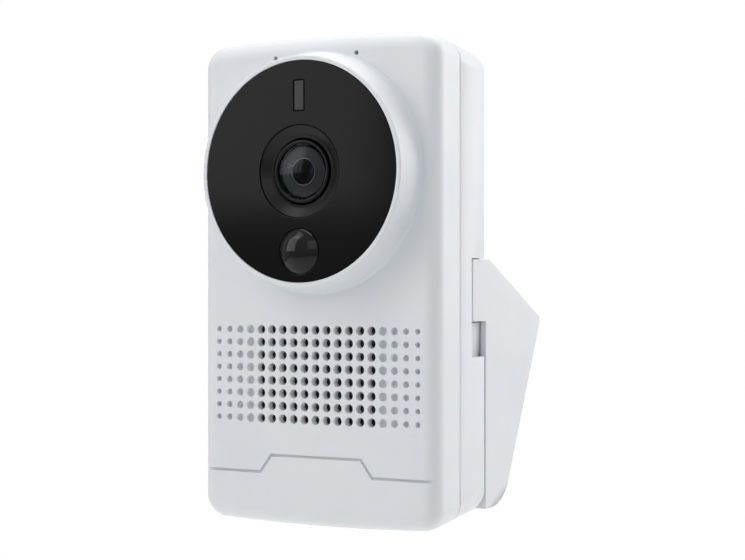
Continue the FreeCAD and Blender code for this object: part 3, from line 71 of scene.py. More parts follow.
CAD_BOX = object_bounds()
MM = 0.001
# The flanges that hold the window's inserts from behind are this much wider than the inserts.
FLANGE = 0.8
log = logging.getLogger("camera")


def extent(node: str) -> tuple[np.ndarray, np.ndarray]:
    """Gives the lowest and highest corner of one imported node.

    Args:
        node: the node's name.

    Returns:
        Both corners in millimetres.
    """
    low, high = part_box(node)
    return np.array(low) / MM, np.array(high) / MM


def middle(node: str) -> np.ndarray:
    """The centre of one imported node's box, in millimetres."""
    low, high = extent(node)
    return (low + high) / 2


# ---- finishes ----


def linear(colour: str) -> tuple[float, float, float, float]:
    """Turns an sRGB hex colour into linear light.

    Args:
        colour: six hex digits after a hash.

    Returns:
        Red, green, blue and a full alpha.
    """
    parts = [int(colour[i:i + 2], 16) / 255 for i in (1, 3, 5)]
    light = [c / 12.92 if c <= 0.04045 else ((c + 0.055) / 1.055) ** 2.4 for c in parts]
    return (*light, 1.0)


def add(tree: bpy.types.NodeTree, kind: str, settings: dict | None = None,
        links: dict | None = None) -> bpy.types.Node:
    """Adds one shader node.

    Args:
        tree: the material's or world's node tree.
        kind: the node's type name.
        settings: values for its sockets, by name or index, or for its own properties.
        links: output sockets for its inputs, by name or index.

    Returns:
        The new node.
    """
    made = tree.nodes.new(kind)
    for name, value in (settings or {}).items():
        if isinstance(name, int) or name in made.inputs:
            made.inputs[name].default_value = value
        else:
            setattr(made, name, value)
    for name, socket in (links or {}).items():
        tree.links.new(socket, made.inputs[name])
    return made


class Pattern(Enum):
    """How a surface was made, which decides its fine relief."""

    ERODED = "moulded against a spark-eroded tool: even rounded grain"
    POLISHED = "moulded or ground smooth: only a slow unevenness"
    BRUSHED = "drawn or rolled: lines along one direction"
    WOVEN = "threads over and under each other"
    ETCHED = "circuit board: traces under a mask"
    FIBROUS = "pressed fibre: short random strands"


@dataclass(frozen=True)
class Finish:
    """One real finish and what gives it its look.

    The colour drifts between two close tones over centimetres, the gloss drifts with it, and
    the relief repeats at the grain's size. Grain and relief are in millimetres.
    """

    name: str
    colour: str
    tone: str
    roughness: float
    pattern: Pattern = Pattern.ERODED
    grain: float = 0.4
    relief: float = 0.01
    gloss_drift: float = 0.04
    metallic: float = 0.0
    ior: float = 1.5
    specular: float = 0.5
    transmission: float = 0.0
    coat: float = 0.0
    coat_roughness: float = 0.03
    bloom: str = "#FFFFFF"
    scatter: float = 0.0

    def relief_height(self, tree: bpy.types.NodeTree,
                      place: bpy.types.NodeSocket) -> bpy.types.NodeSocket:
        """Adds the nodes that give the height of the grain.

        Args:
            tree: the material's node tree.
            place: object coordinates in metres.

        Returns:
            The socket that holds the height.
        """
        scale = 1 / (self.grain * MM)
        if self.pattern is Pattern.WOVEN:
            warp = add(tree, "ShaderNodeTexWave", {
                "wave_type": "BANDS", "bands_direction": "X", "Scale": scale / 20,
                "Distortion": 0.4}, {"Vector": place})
            weft = add(tree, "ShaderNodeTexWave", {
                "wave_type": "BANDS", "bands_direction": "Z", "Scale": scale / 20,
                "Distortion": 0.4}, {"Vector": place})
            return add(tree, "ShaderNodeMath", {"operation": "MULTIPLY"}, {
                0: warp.outputs[1], 1: weft.outputs[1]}).outputs[0]
        if self.pattern is Pattern.BRUSHED:
            drawn = add(tree, "ShaderNodeMapping", {"Scale": (1, 1, 0.04)}, {"Vector": place})
            return add(tree, "ShaderNodeTexNoise", {"Scale": scale, "Detail": 2.0}, {
                "Vector": drawn.outputs[0]}).outputs[0]
        if self.pattern is Pattern.ETCHED:
            return add(tree, "ShaderNodeTexBrick", {
                "Scale": scale / 4, "Mortar Size": 0.03, "Mortar Smooth": 0.3}, {
                    "Vector": add(tree, "ShaderNodeMapping", {
                        "Rotation": (math.pi / 2, 0, 0)}, {"Vector": place}).outputs[0]}).outputs[1]
        if self.pattern is Pattern.FIBROUS:
            strands = add(tree, "ShaderNodeMapping", {"Scale": (1, 1, 0.25)}, {"Vector": place})
            return add(tree, "ShaderNodeTexNoise", {
                "Scale": scale, "Detail": 5.0, "Distortion": 0.8}, {
                    "Vector": strands.outputs[0]}).outputs[0]
        detail = 3.0 if self.pattern is Pattern.ERODED else 0.0
        return add(tree, "ShaderNodeTexNoise", {"Scale": scale, "Detail": detail}, {
            "Vector": place}).outputs[0]

    def dress(self) -> bpy.types.Material:
        """Builds the finish as a material, once.

        Returns:
            The material, which later calls find again by its name.
        """
        if self.name in bpy.data.materials:
            return bpy.data.materials[self.name]
        material = bpy.data.materials.new(self.name)
        material.use_nodes = True
        tree = material.node_tree
        tree.nodes.clear()
        place = add(tree, "ShaderNodeTexCoord").outputs["Object"]
        drift = add(tree, "ShaderNodeTexNoise", {"Scale": 45.0, "Detail": 3.0}, {"Vector": place})
        height = self.relief_height(tree, place)
        blend = add(tree, "ShaderNodeMath", {"operation": "MULTIPLY_ADD", 1: 0.35}, {
            0: height, 2: drift.outputs[0]})
        steep = add(tree, "ShaderNodeMapRange", {
            "From Min": 0.45, "From Max": 0.95, "To Min": 0.0, "To Max": 1.0}, {
                0: blend.outputs[0]})
        colour = add(tree, "ShaderNodeMix", {
            "data_type": "RGBA", 6: linear(self.colour), 7: linear(self.tone)}, {
                0: steep.outputs[0]})
        gloss = add(tree, "ShaderNodeMapRange", {
            "From Min": 0.3, "From Max": 0.7, "To Min": max(self.roughness - self.gloss_drift, 0.0),
            "To Max": self.roughness + self.gloss_drift}, {0: drift.outputs[0]})
        bump = add(tree, "ShaderNodeBump", {"Strength": 1.0, "Distance": self.relief * MM}, {
            "Height": height})
        settings = {
            "Metallic": self.metallic, "Specular IOR Level": self.specular,
            "Transmission Weight": self.transmission, "Coat Weight": self.coat,
            "Coat Roughness": self.coat_roughness, "Specular Tint": linear(self.bloom),
            "Subsurface Weight": self.scatter, "Subsurface Scale": 0.002}
        if not self.metallic:
            settings["IOR"] = self.ior
        shader = add(tree, "ShaderNodeBsdfPrincipled", settings, {
            "Base Color": colour.outputs[2], "Roughness": gloss.outputs[0],
            "Normal": bump.outputs[0]})
        add(tree, "ShaderNodeOutputMaterial", links={"Surface": shader.outputs[0]})
        return material


# White ABS, moulded against a lightly spark-eroded tool: a soft satin that spreads highlights.
# Its real grain is about 0.05 mm, drawn at 0.3 mm so that it shows.
CASING = Finish("casing_abs_eroded", "#E4E7EA", "#DDE1E5", 0.40, grain=0.3, relief=0.006,
                specular=0.45, scatter=0.06)
# The same resin in the bracket, from a coarser tool.
BRACKET = Finish("bracket_abs_eroded", "#E2E4E7", "#DADDE1", 0.46, grain=0.4, relief=0.010,
                 specular=0.40, scatter=0.06)
# Black polished acrylic: deep, with clean mirror reflections.
WINDOW = Finish("window_acrylic_polished", "#0C0C0C", "#0E0E0E", 0.10, Pattern.POLISHED, 18.0,
                0.004, 0.012, ior=1.49, specular=0.13)
# Smoked polycarbonate that passes infra-red: grey with a soft shine.
IR_WINDOW = Finish("ir_window_polycarbonate", "#1E1E20", "#232325", 0.22, Pattern.POLISHED, 1.2,
                   0.004, ior=1.58, specular=0.3)
# Dark polyethylene of a motion detector lens: waxy and smooth.
DETECTOR = Finish("detector_lens_polyethylene", "#141415", "#171718", 0.085, Pattern.POLISHED, 3.0,
                  0.006, 0.015, ior=1.51, specular=0.27)
# Black ABS with a fine eroded grain, for parts that mustn't reflect.
BLACK_PLASTIC = Finish("black_abs_eroded", "#0E0E0F", "#121213", 0.36, grain=0.25, relief=0.008,
                       specular=0.3)
# Black anodised aluminium, turned: dull with a faint metal sheen.
ANODISED = Finish("anodised_black_turned", "#0E0E10", "#17171A", 0.34, Pattern.BRUSHED, 0.2, 0.004,
                  metallic=0.6)
# Coated optical glass: clear. Its coating cancels most reflection, as a low index does.
GLASS = Finish("optical_glass_coated", "#DADBDE", "#D4D5D9", 0.0, Pattern.POLISHED, 12.0, 0.0005,
               0.0, ior=1.2, transmission=1.0, specular=0.5, bloom="#F0F1FF")
# The same glass with a stronger blue coating, for the glass behind the aperture.
BLUE_GLASS = Finish("optical_glass_blue_coat", "#7C7F90", "#74778A", 0.05, Pattern.POLISHED, 8.0,
                    0.0005, 0.01, ior=1.42, transmission=1.0, specular=0.5, bloom="#9AA4E8")
# Infra-red cut glass: clear with a cyan cast.
CUT_GLASS = Finish("ir_cut_glass", "#6FA5AD", "#689DA8", 0.02, Pattern.POLISHED, 6.0, 0.0005,
                   0.01, ior=1.52, transmission=1.0, specular=0.3)
# Silicon sensor under cover glass: dark with interference colours.
SENSOR = Finish("image_sensor_silicon", "#14161C", "#1B1A26", 0.16, Pattern.ETCHED, 0.3, 0.002,
                coat=0.5, bloom="#9FA8D8")
# Fibreglass board with green solder mask over copper traces.
BOARD = Finish("circuit_board_masked", "#15583A", "#1E6B46", 0.32, Pattern.ETCHED, 0.8, 0.02,
               coat=0.4, coat_roughness=0.15)
# Black lens paint: satin, with the slow unevenness of a brushed coat.
MASK_PAINT = Finish("black_lens_paint", "#0E0E0F", "#111112", 0.3, Pattern.POLISHED, 4.0, 0.001,
                    specular=0.5)
# Bright metal for a thin bead round the lens's aperture: a painted highlight, standing in for the
# light that the black bevelled edge catches there.
HIGHLIGHT_BEAD_METAL = Finish("bright_metal_painted_highlight", "#A8A49A", "#98948B", 0.25, Pattern.BRUSHED, 0.3, 0.003,
                    metallic=1.0)
# Clear epoxy body of an infra-red diode: glassy with a violet tint.
LED_EPOXY = Finish("infrared_diode_epoxy", "#38304A", "#2E2740", 0.08, Pattern.POLISHED, 0.8,
                   0.004, ior=1.55, coat=0.5)
# Moulded silicone rubber: matt black.
RUBBER = Finish("black_silicone_rubber", "#161617", "#1E1E1F", 0.72, grain=0.2, relief=0.01)
# Closed-cell adhesive foam: matt, with fine open pores at its cut edges.
FOAM = Finish("adhesive_foam_black", "#1A1A1B", "#262628", 0.88, grain=0.35, relief=0.03)
# Drawn nickel silver can: bright, with faint lines.
CAN = Finish("nickel_silver_can", "#B9B7B0", "#A9A69D", 0.26, Pattern.BRUSHED, 0.3, 0.003,
             metallic=1.0)
# Zinc-plated steel of small screws.
STEEL = Finish("zinc_plated_steel", "#B4B6B9", "#9C9FA3", 0.30, Pattern.BRUSHED, 0.25, 0.004,
               metallic=1.0)
# Mild steel of the speaker's frame, painted by electrocoat: dark satin.
FRAME_STEEL = Finish("electrocoated_steel", "#232427", "#2C2D31", 0.42, grain=0.3, relief=0.006)
# Nickel-plated magnet cup.
MAGNET = Finish("nickel_plated_magnet", "#A6A4A0", "#8F8D89", 0.24, Pattern.BRUSHED, 0.5, 0.002,
                metallic=1.0)
# Bonded ferrite of the filter's rotor: dark grey, slightly sparkling.
FERRITE = Finish("bonded_ferrite", "#2A2A2C", "#3A393B", 0.50, grain=0.15, relief=0.01)
# Enamelled copper wire, wound: warm with rows of turns.
COPPER = Finish("enamelled_copper", "#B4632C", "#8E4A20", 0.28, Pattern.BRUSHED, 0.22, 0.03,
                metallic=1.0)
# Pressed paper pulp of the speaker cone.
PAPER = Finish("pressed_paper_pulp", "#26241F", "#332F28", 0.86, Pattern.FIBROUS, 0.5, 0.03)
# Open polyester cloth behind the grille, about 0.35 mm from thread to thread.
CLOTH = Finish("polyester_grille_cloth", "#0D0D0E", "#29292B", 0.85, Pattern.WOVEN, 0.7, 0.08)
# Polyimide film over copper, as in a flexible ribbon: amber with straight conductors.
RIBBON = Finish("polyimide_ribbon", "#A8651C", "#C27A28", 0.30, Pattern.BRUSHED, 0.5, 0.01,
                coat=0.5)
# Soft insulation of thin leads.
LEAD = Finish("lead_insulation_pvc", "#8A1C1C", "#7A1616", 0.38, Pattern.POLISHED, 1.5, 0.01)
# Moulded epoxy of chips and transformers: black with a fine matt grain.
CHIP = Finish("moulded_epoxy", "#1B1B1D", "#252527", 0.58, grain=0.15, relief=0.006)
# Grey silicone gap pad: soft and slightly uneven.
GAP_PAD = Finish("silicone_gap_pad", "#8C9AA6", "#7F8D99", 0.66, grain=0.6, relief=0.03)
# Extruded aluminium of the heat spreader.
ALUMINIUM = Finish("extruded_aluminium", "#C4C6C8", "#AEB0B3", 0.34, Pattern.BRUSHED, 0.35, 0.006,
                   metallic=1.0)
# Tin-plated shell of a network jack.
TIN = Finish("tin_plated_shell", "#C2C4C6", "#A7A9AC", 0.27, Pattern.BRUSHED, 0.6, 0.004,
             metallic=1.0)
# Gold flash over nickel on spring contacts.
GOLD = Finish("gold_flash_contact", "#E2B45A", "#CC9C44", 0.22, Pattern.BRUSHED, 0.3, 0.003,
              metallic=1.0)
# Green polyamide of a plug-in terminal.
TERMINAL = Finish("terminal_polyamide", "#2E7D4A", "#276D40", 0.44, grain=0.25, relief=0.01)
# Black polycarbonate of a memory card with plain faces.
CARD = Finish("memory_card_polycarbonate", "#17181A", "#1F2022", 0.35, grain=0.2, relief=0.004)
# Light grey ABS of the control button.
BUTTON = Finish("button_abs", "#B9BDC1", "#B0B4B9", 0.38, grain=0.25, relief=0.006)
# Matt polyester label without any print.
LABEL = Finish("blank_label_polyester", "#C8CBCE", "#C2C5C9", 0.52, grain=0.4, relief=0.004)

# The record's material slots and the finish that each one gets.
SLOT_FINISHES = {
    "casing": CASING, "bracket": BRACKET, "window": WINDOW, "adhesive_foam": FOAM,
    "ir_filter_plastic": IR_WINDOW, "detector_plastic": DETECTOR, "black_plastic": BLACK_PLASTIC,
    "circuit_board": BOARD, "led_epoxy": LED_EPOXY, "black_rubber": RUBBER, "sensor_can": CAN,
    "anodised_black": ANODISED, "lens_glass": GLASS, "cut_filter_glass": CUT_GLASS,
    "magnet_plastic": FERRITE, "coil_copper": COPPER, "sensor_glass": SENSOR, "steel": STEEL,
    "ribbon_film": RIBBON, "grille_cloth": CLOTH, "speaker_steel": FRAME_STEEL,
    "magnet_steel": MAGNET, "speaker_paper": PAPER, "lead_insulation": LEAD,
    "chip_package": CHIP, "thermal_silicone": GAP_PAD, "heat_aluminium": ALUMINIUM,
    "jack_shell": TIN, "contact_gold": GOLD, "terminal_plastic": TERMINAL,
    "card_plastic": CARD, "button_plastic": BUTTON, "label_film": LABEL,
}


# ---- surfaces ----

# Points closer than this, in metres, are one point; edges shorter than the second one vanish.
WELD, VANISHING = 2e-6, 1e-6
# The triangulation covers the hull of its points, and takes points this close, in mm, as one.
CONVEX_FILL, FILL_WELD = 1, 1e-6
# Faces that meet at more than this many degrees keep a crisp edge: own shapes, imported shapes.
CRISP, PACKED_CRISP = 34.0, 28.0


def arc(centre: tuple[float, float], radius: float, start: float, end: float,
        steps: int) -> np.ndarray:
    """Points along a circular arc: the centre plus the radius at evenly spaced angles.

    Args:
        centre: the arc's centre.
        radius: its radius.
        start: first angle in degrees, anticlockwise from the first axis.
        end: last angle in degrees.
        steps: how many points.

    Returns:
        An array of points, one a row.
    """
    turn = np.radians(np.linspace(start, end, steps))
    return np.stack([centre[0] + radius * np.cos(turn), centre[1] + radius * np.sin(turn)], 1)


def rounded(corners: list[tuple[float, float, float]], steps: int = 6) -> np.ndarray:
    """A closed outline whose corners are rounded.

    Each corner is replaced by the circle that touches both of its sides: its tangent points lie
    radius / tan(half the corner's angle) along each side.

    Args:
        corners: first and second coordinate and rounding radius of each corner.
        steps: points on each rounding.

    Returns:
        The outline's points, one a row, without repeating the first.
    """
    made = []
    for index, (x, y, radius) in enumerate(corners):
        here = np.array([x, y])
        if radius <= 0:
            made.append(here[None])
            continue
        before = np.array(corners[index - 1][:2]) - here
        after = np.array(corners[(index + 1) % len(corners)][:2]) - here
        before, after = before / np.linalg.norm(before), after / np.linalg.norm(after)
        half = math.acos(float(np.clip(before @ after, -1, 1))) / 2
        centre = here + (before + after) / np.linalg.norm(before + after) * radius / math.sin(half)
        foot = here + before * radius / math.tan(half) - centre
        last = here + after * radius / math.tan(half) - centre
        sweep = math.atan2(foot[0] * last[1] - foot[1] * last[0], foot @ last)
        turn = np.linspace(0, sweep, steps)
        made.append(centre + np.stack([
            foot[0] * np.cos(turn) - foot[1] * np.sin(turn),
            foot[0] * np.sin(turn) + foot[1] * np.cos(turn)], 1))
    return np.concatenate(made)


@dataclass
class Loop:
    """A closed plane curve with its outward normals, which can be moved along them."""

    points: np.ndarray
    normals: np.ndarray

    def moved(self, distance: float | np.ndarray) -> np.ndarray:
        """The curve's points moved outwards by a distance, or by one distance a point."""
        return self.points + self.normals * np.asarray(distance).reshape(-1, 1)


def circle(x: float, z: float, radius: float, steps: int) -> Loop:
    """A circle as a loop: its centre plus the radius times each unit normal."""
    turn = np.linspace(0, 2 * np.pi, steps, endpoint=False)
    normals = np.stack([np.cos(turn), np.sin(turn)], 1)
    return Loop(np.array([x, z]) + radius * normals, normals)


def slot_loop(x: float, z: float, width: float, height: float, corner: float) -> Loop:
    """An upright rectangle with rounded corners as a loop, its normals turning at the corners."""
    points, normals = [], []
    for index, (sx, sz) in enumerate(((1, 1), (-1, 1), (-1, -1), (1, -1))):
        centre = (x + sx * (width / 2 - corner), z + sz * (height / 2 - corner))
        ring = arc(centre, corner, 90 * index, 90 * index + 90, 7)
        points.append(ring)
        normals.append((ring - np.array(centre)) / corner)
    return Loop(np.concatenate(points), np.concatenate(normals))


def ringed(rings: list[tuple[np.ndarray, float | np.ndarray]]) -> np.ndarray:
    """A grid of points from plane curves at their levels along Y.

    Args:
        rings: (X and Z of each point, Y of each point or of all) of each curve.

    Returns:
        Curves by points by three coordinates.
    """
    return np.stack([np.stack([ring[:, 0], np.broadcast_to(level, len(ring)), ring[:, 1]], -1)
                     for ring, level in rings])


class Skin:
    """Gathers the surfaces of one piece and welds them into one closed mesh."""

    def __init__(self) -> None:
        """Starts with no surface."""
        self.points: list[np.ndarray] = []
        self.faces: list[np.ndarray] = []
        self.total = 0

    def put(self, points: np.ndarray, faces: np.ndarray) -> None:
        """Adds points, and faces that name their corners by their place among these points."""
        self.points.append(points)
        self.faces.append(faces + self.total)
        self.total += len(points)

    def sheet(self, grid: np.ndarray, around: bool = False) -> None:
        """Adds a grid of points as four-sided faces.

        Args:
            grid: rows by columns by three coordinates.
            around: whether the last column joins the first.
        """
        rows, columns = grid.shape[:2]
        row = np.arange(rows - 1)[:, None] * columns
        column = np.arange(columns if around else columns - 1)[None, :]
        following = (column + 1) % columns
        quads = np.stack([row + column, row + following, row + columns + following,
                          row + columns + column], -1)
        self.put(grid.reshape(-1, 3), quads.reshape(-1, 4))

    def turned(self, profile: np.ndarray, x: float, z: float, steps: int,
               closed: bool = False) -> None:
        """Adds a surface turned about an axis along Y: (x + r cos t, y, z + r sin t).

        Args:
            profile: (distance along Y, radius) of each point.
            x: the axis's X.
            z: the axis's Z.
            steps: how many points round the axis.
            closed: whether the profile's last point joins its first.
        """
        if closed:
            profile = np.concatenate([profile, profile[:1]])
        turn = np.linspace(0, 2 * np.pi, steps, endpoint=False)
        y, radius = profile[:, 0][:, None], profile[:, 1][:, None]
        self.sheet(np.stack([x + radius * np.cos(turn), np.broadcast_to(y, (len(y), steps)),
                             z + radius * np.sin(turn)], -1), around=True)

    def flat(self, outer: np.ndarray, holes: list[np.ndarray], level: float,
             bent: Callable[[np.ndarray], np.ndarray] | None = None) -> None:
        """Fills the plane between an outer curve and its holes with triangles.

        A triangle lies in a hole when all its corners are on that hole's curve.

        Args:
            outer: the outer curve's points, which is convex.
            holes: each hole's points; all are convex but the last one, when bent is given.
            level: the plane's Y.
            bent: says which of some points lie in the last hole, when it isn't convex.
        """
        loops = [outer, *holes]
        starts = np.cumsum([0] + [len(points) for points in loops])
        edges = np.concatenate([np.stack([ring, np.roll(ring, -1)], 1)
                                for ring in np.split(np.arange(starts[-1]), starts[1:-1])])
        filled = delaunay_2d_cdt(np.concatenate(loops).tolist(), edges.tolist(), [],
                                 CONVEX_FILL, FILL_WELD)
        flat = np.array(filled[0])
        faces = np.array(filled[2])
        # The points that were given, and which curve each of them came from.
        given = np.repeat(np.arange(len(flat)), np.fromiter(map(len, filled[3]), int))
        curve = np.searchsorted(starts, np.concatenate(filled[3]), side="right") - 1
        on_curve = np.zeros((len(flat), len(loops)), bool)
        on_curve[given, curve.astype(int)] = True
        shared = on_curve[faces].all(1)[:, 1:]
        if bent:
            shared[:, -1] &= bent(flat[faces].mean(1))
        self.put(np.stack([flat[:, 0], np.full(len(flat), level), flat[:, 1]], 1),
                 faces[~shared.any(1)])

    def mesh(self, name: str) -> bpy.types.Mesh:
        """Makes one mesh, in metres, of all the surfaces."""
        made = bpy.data.meshes.new(name)
        faces = [corners for block in self.faces for corners in block.tolist()]
        made.from_pydata((np.concatenate(self.points) * MM).tolist(), [], faces)
        return made

    def finish(self, name: str, body: str, finish: Finish, replaces: tuple[str, ...] = (),
               slot: str | None = None, sharp: float = CRISP) -> bpy.types.Object:
        """Makes the object, welded, shaded and riding on its body.

        Args:
            name: the piece's name.
            body: the moving body it rides on.
            finish: its finish.
            replaces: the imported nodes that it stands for.
            slot: the record's material slot.
            sharp: edges that turn by more than this many degrees stay crisp.

        Returns:
            The new object.
        """
        return place(self.mesh(name), name, body, finish, replaces, slot, sharp)


def place(mesh: bpy.types.Mesh, name: str, body: str, finish: Finish, replaces: tuple[str, ...],
          slot: str | None, sharp: float) -> bpy.types.Object:
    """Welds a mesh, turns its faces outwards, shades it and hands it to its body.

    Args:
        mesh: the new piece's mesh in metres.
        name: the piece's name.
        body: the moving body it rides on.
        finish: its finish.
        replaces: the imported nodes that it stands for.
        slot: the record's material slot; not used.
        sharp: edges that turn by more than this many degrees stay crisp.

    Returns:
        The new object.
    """
    work = bmesh.new()
    work.from_mesh(mesh)
    bmesh.ops.remove_doubles(work, verts=work.verts, dist=WELD)
    bmesh.ops.dissolve_degenerate(work, edges=work.edges, dist=VANISHING)
    bmesh.ops.recalc_face_normals(work, faces=work.faces)
    work.to_mesh(mesh)
    work.free()
    mesh.shade_smooth()
    mesh.set_sharp_from_angle(angle=math.radians(sharp))
    thing = bpy.data.objects.new(name, mesh)
    bpy.context.scene.collection.objects.link(thing)
    mesh.materials.append(finish.dress())
    even = thing.modifiers.new("even_shading", "WEIGHTED_NORMAL")
    even.mode = "FACE_AREA"
    even.weight = 100
    even.keep_sharp = True
    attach(thing, body)
    if replaces:
        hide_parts(*replaces)
    log.info("%s: %d faces on %s", name, len(mesh.polygons), body)
    return thing


def evened(node: str, name: str, body: str, finish: Finish, slot: str) -> bpy.types.Object:
    """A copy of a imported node, merged so that its curved faces shade smoothly.

    Args:
        node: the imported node.
        name: the new piece's name.
        body: the moving body it rides on.
        finish: its finish.
        slot: the record's material slot.

    Returns:
        The new object.
    """
    mesh = frame["nodes"][node].data.copy()
    mesh.name = name
    mesh.materials.clear()
    return place(mesh, name, body, finish, (node,), slot, PACKED_CRISP)


def turned_piece(name: str, node: str, profile: np.ndarray, steps: int, finish: Finish, slot: str,
                 closed: bool = True, stands_in: bool = True) -> None:
    """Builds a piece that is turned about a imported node's middle.

    Args:
        name: the piece's name.
        node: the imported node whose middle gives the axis.
        profile: (distance along Y, radius) of each point.
        steps: how many points round the axis.
        finish: its finish.
        slot: the record's material slot.
        closed: whether the profile's last point joins its first.
        stands_in: whether the piece stands for that node.
    """
    skin = Skin()
    centre = middle(node)
    skin.turned(profile, centre[0], centre[2], steps, closed)
    skin.finish(name, "camera", finish, (node,) if stands_in else (), slot)


# ---- the casing ----


@dataclass
class Casing:
    """The two covers, whose outline has flat sides and slowly crowned, tapering ends."""

    crown_radius: float = 560.0
    corner: float = 5.5
    front_round: float = 3.8
    round_steps: int = 15
    taper: float = 0.11
    wall: float = 2.0
    # How far back along the sides a row of points lies, and the rounded edge at the seam.
    side_share: float = 0.55
    seam_round: float = 0.18
    # Narrow flat rings beside rounded edges, which keep the flat faces' shading flat.
    collar: float = 0.1
    hole_collar: float = 0.03
    bezel_stand: float = 7.4
    bezel_blend: float = 0.8
    bezel_root: float = 0.6
    bezel_base: float = 28.0
    bezel_rim: float = 26.6
    bezel_steps: int = 288
    # A point on the bezel's flank: this far in front of the face, and this much narrower.
    flank_rise: float = 1.5
    flank_lean: float = 0.28
    rim_round: float = 0.45
    bore_round: float = 0.12
    # The window's play in the bezel, the gasket behind it and the ledge that carries both.
    play: float = 0.05
    gasket: float = 0.3
    ledge: float = 1.05
    # The bezel ring ends this far before the shell's inner face and inside its opening.
    ring_gap: float = 0.02
    ring_inset: float = 0.3
    face_opening: float = 27.4
    pitch: float = 3.0
    rows: int = 8
    open_columns: int = 5
    hole: float = 1.05
    hole_steps: int = 28
    lip_share: float = 0.13
    dimple_depth: float = 1.3
    dimple_shares: tuple[float, ...] = (0.98, 0.84, 0.71, 0.6)
    # A dimple's end: depth past its floor and radius less than its own, of a fillet's points.
    dimple_end: tuple[tuple[float, float], ...] = ((-0.12, 0.0), (-0.03, 0.05), (0.0, 0.16))
    dimple_point: float = 0.05
    ear: float = 0.55
    ear_inset: float = 1.75
    ear_room: float = 0.69
    groove_width: float = 0.68
    groove_depth: float = 0.7
    groove_low: float = 12.3
    groove_high: float = 16.35
    groove_inner: float = 12.2
    groove_outer: float = 15.25
    # A slope's edges keep the groove's width when they shift by this share of it along X.
    groove_shift: float = 0.27
    half_width: float = field(init=False)
    overrun: float = field(init=False)
    bottom: float = field(init=False)
    top: float = field(init=False)
    front: float = field(init=False)
    seam: float = field(init=False)
    eye: np.ndarray = field(init=False)
    grille: np.ndarray = field(init=False)
    ear_x: float = field(init=False)
    ears: float = field(init=False)

    def __post_init__(self) -> None:
        """Takes the covers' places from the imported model."""
        low, high = extent("front_cover")
        self.half_width = (high[0] - low[0]) / 2
        # The front rounding takes this much off each tapering end.
        self.overrun = self.front_round * (self.taper + math.hypot(1, self.taper) - 1)
        self.bottom = low[2] - self.overrun
        self.top = high[2] + self.overrun
        self.front = low[1] + self.bezel_stand
        self.seam = high[1]
        self.eye = middle("front_window")
        self.grille = middle("speaker_frame")
        self.ear_x = extent("microphones")[1][0] - self.ear_inset
        # The microphone holes stay whole on the flat face, just below where its edge rounds off.
        flat_top = self.top - self.front_round * (math.hypot(1, self.taper) + self.taper)
        drop = self.ear_x ** 2 / (2 * self.crown_radius) + self.collar + self.ear_room
        self.ears = min(middle("microphones")[2], flat_top - drop)

    def outline(self, extra: tuple[float, ...] = ()) -> Loop:
        """The covers' outline in the plane of the front face, before any rounding.

        Each quarter is half a flat side, a corner circle that touches the side and the crown's
        circle, and half the crown.

        Args:
            extra: heights at which the flat sides get points of their own.

        Returns:
            The outline, anticlockwise seen with X to the right and Z up.
        """
        centre = (self.top + self.bottom) / 2
        arm = self.crown_radius - self.corner
        reach = self.half_width - self.corner
        crown = self.top - self.crown_radius
        rise = crown + math.sqrt(arm ** 2 - reach ** 2)
        lean = math.degrees(math.atan2(rise - crown, reach))
        corner = arc((reach, rise), self.corner, 0, lean, 22)
        corner_normals = (corner - np.array([reach, rise])) / self.corner
        cap = arc((0, crown), self.crown_radius, lean, 90, 30)[1:]
        cap_normals = (cap - np.array([0, crown])) / self.crown_radius
        side_z = np.linspace(centre, rise, 18)[:-1]
        upper = np.concatenate([corner, cap])
        upper_normals = np.concatenate([corner_normals, cap_normals])

        def quarter(sx: int, sz: int) -> tuple[np.ndarray, np.ndarray]:
            """One quarter with its own side points, mirrored into place."""
            inside = [centre + abs(z - centre) for z in extra if (z - centre) * sz > 0]
            heights = np.sort(np.concatenate([side_z, inside]))
            side = np.stack([np.full(len(heights), self.half_width), heights], 1)
            normals = np.tile([1.0, 0.0], (len(side), 1))
            points = np.concatenate([side, upper])
            normals = np.concatenate([normals, upper_normals])
            points = np.stack([points[:, 0] * sx, centre + (points[:, 1] - centre) * sz], 1)
            return points, normals * np.array([sx, sz])

        parts = []
        for sx, sz in ((1, 1), (-1, 1), (-1, -1), (1, -1)):
            points, normals = quarter(sx, sz)
            if sx * sz < 0:
                points, normals = points[::-1], normals[::-1]
            parts.append((points, normals))
        points = np.concatenate([p for p, n in parts])
        normals = np.concatenate([n for p, n in parts])
        fresh = np.linalg.norm(points - np.roll(points, 1, 0), axis=1) > 1e-6
        return Loop(points[fresh], normals[fresh])

    def slope(self, loop: Loop) -> np.ndarray:
        """How fast each point of the outline closes in with depth."""
        return self.taper * np.abs(loop.normals[:, 1])

    def inset(self, slope: np.ndarray) -> np.ndarray:
        """How far inside the outline the flat face ends, where the rounding begins."""
        return -self.front_round * (np.hypot(1, slope) + slope)

    def groove_path(self) -> np.ndarray:
        """The stepped groove's middle line: low at the sides, raised between two slopes."""
        foot = self.bottom + self.overrun
        low, high = foot + self.groove_low, foot + self.groove_high
        edge = self.half_width - self.front_round - self.collar
        return np.array([(-edge, low), (-self.groove_outer, low), (-self.groove_inner, high),
                         (self.groove_inner, high), (self.groove_outer, low), (edge, low)])

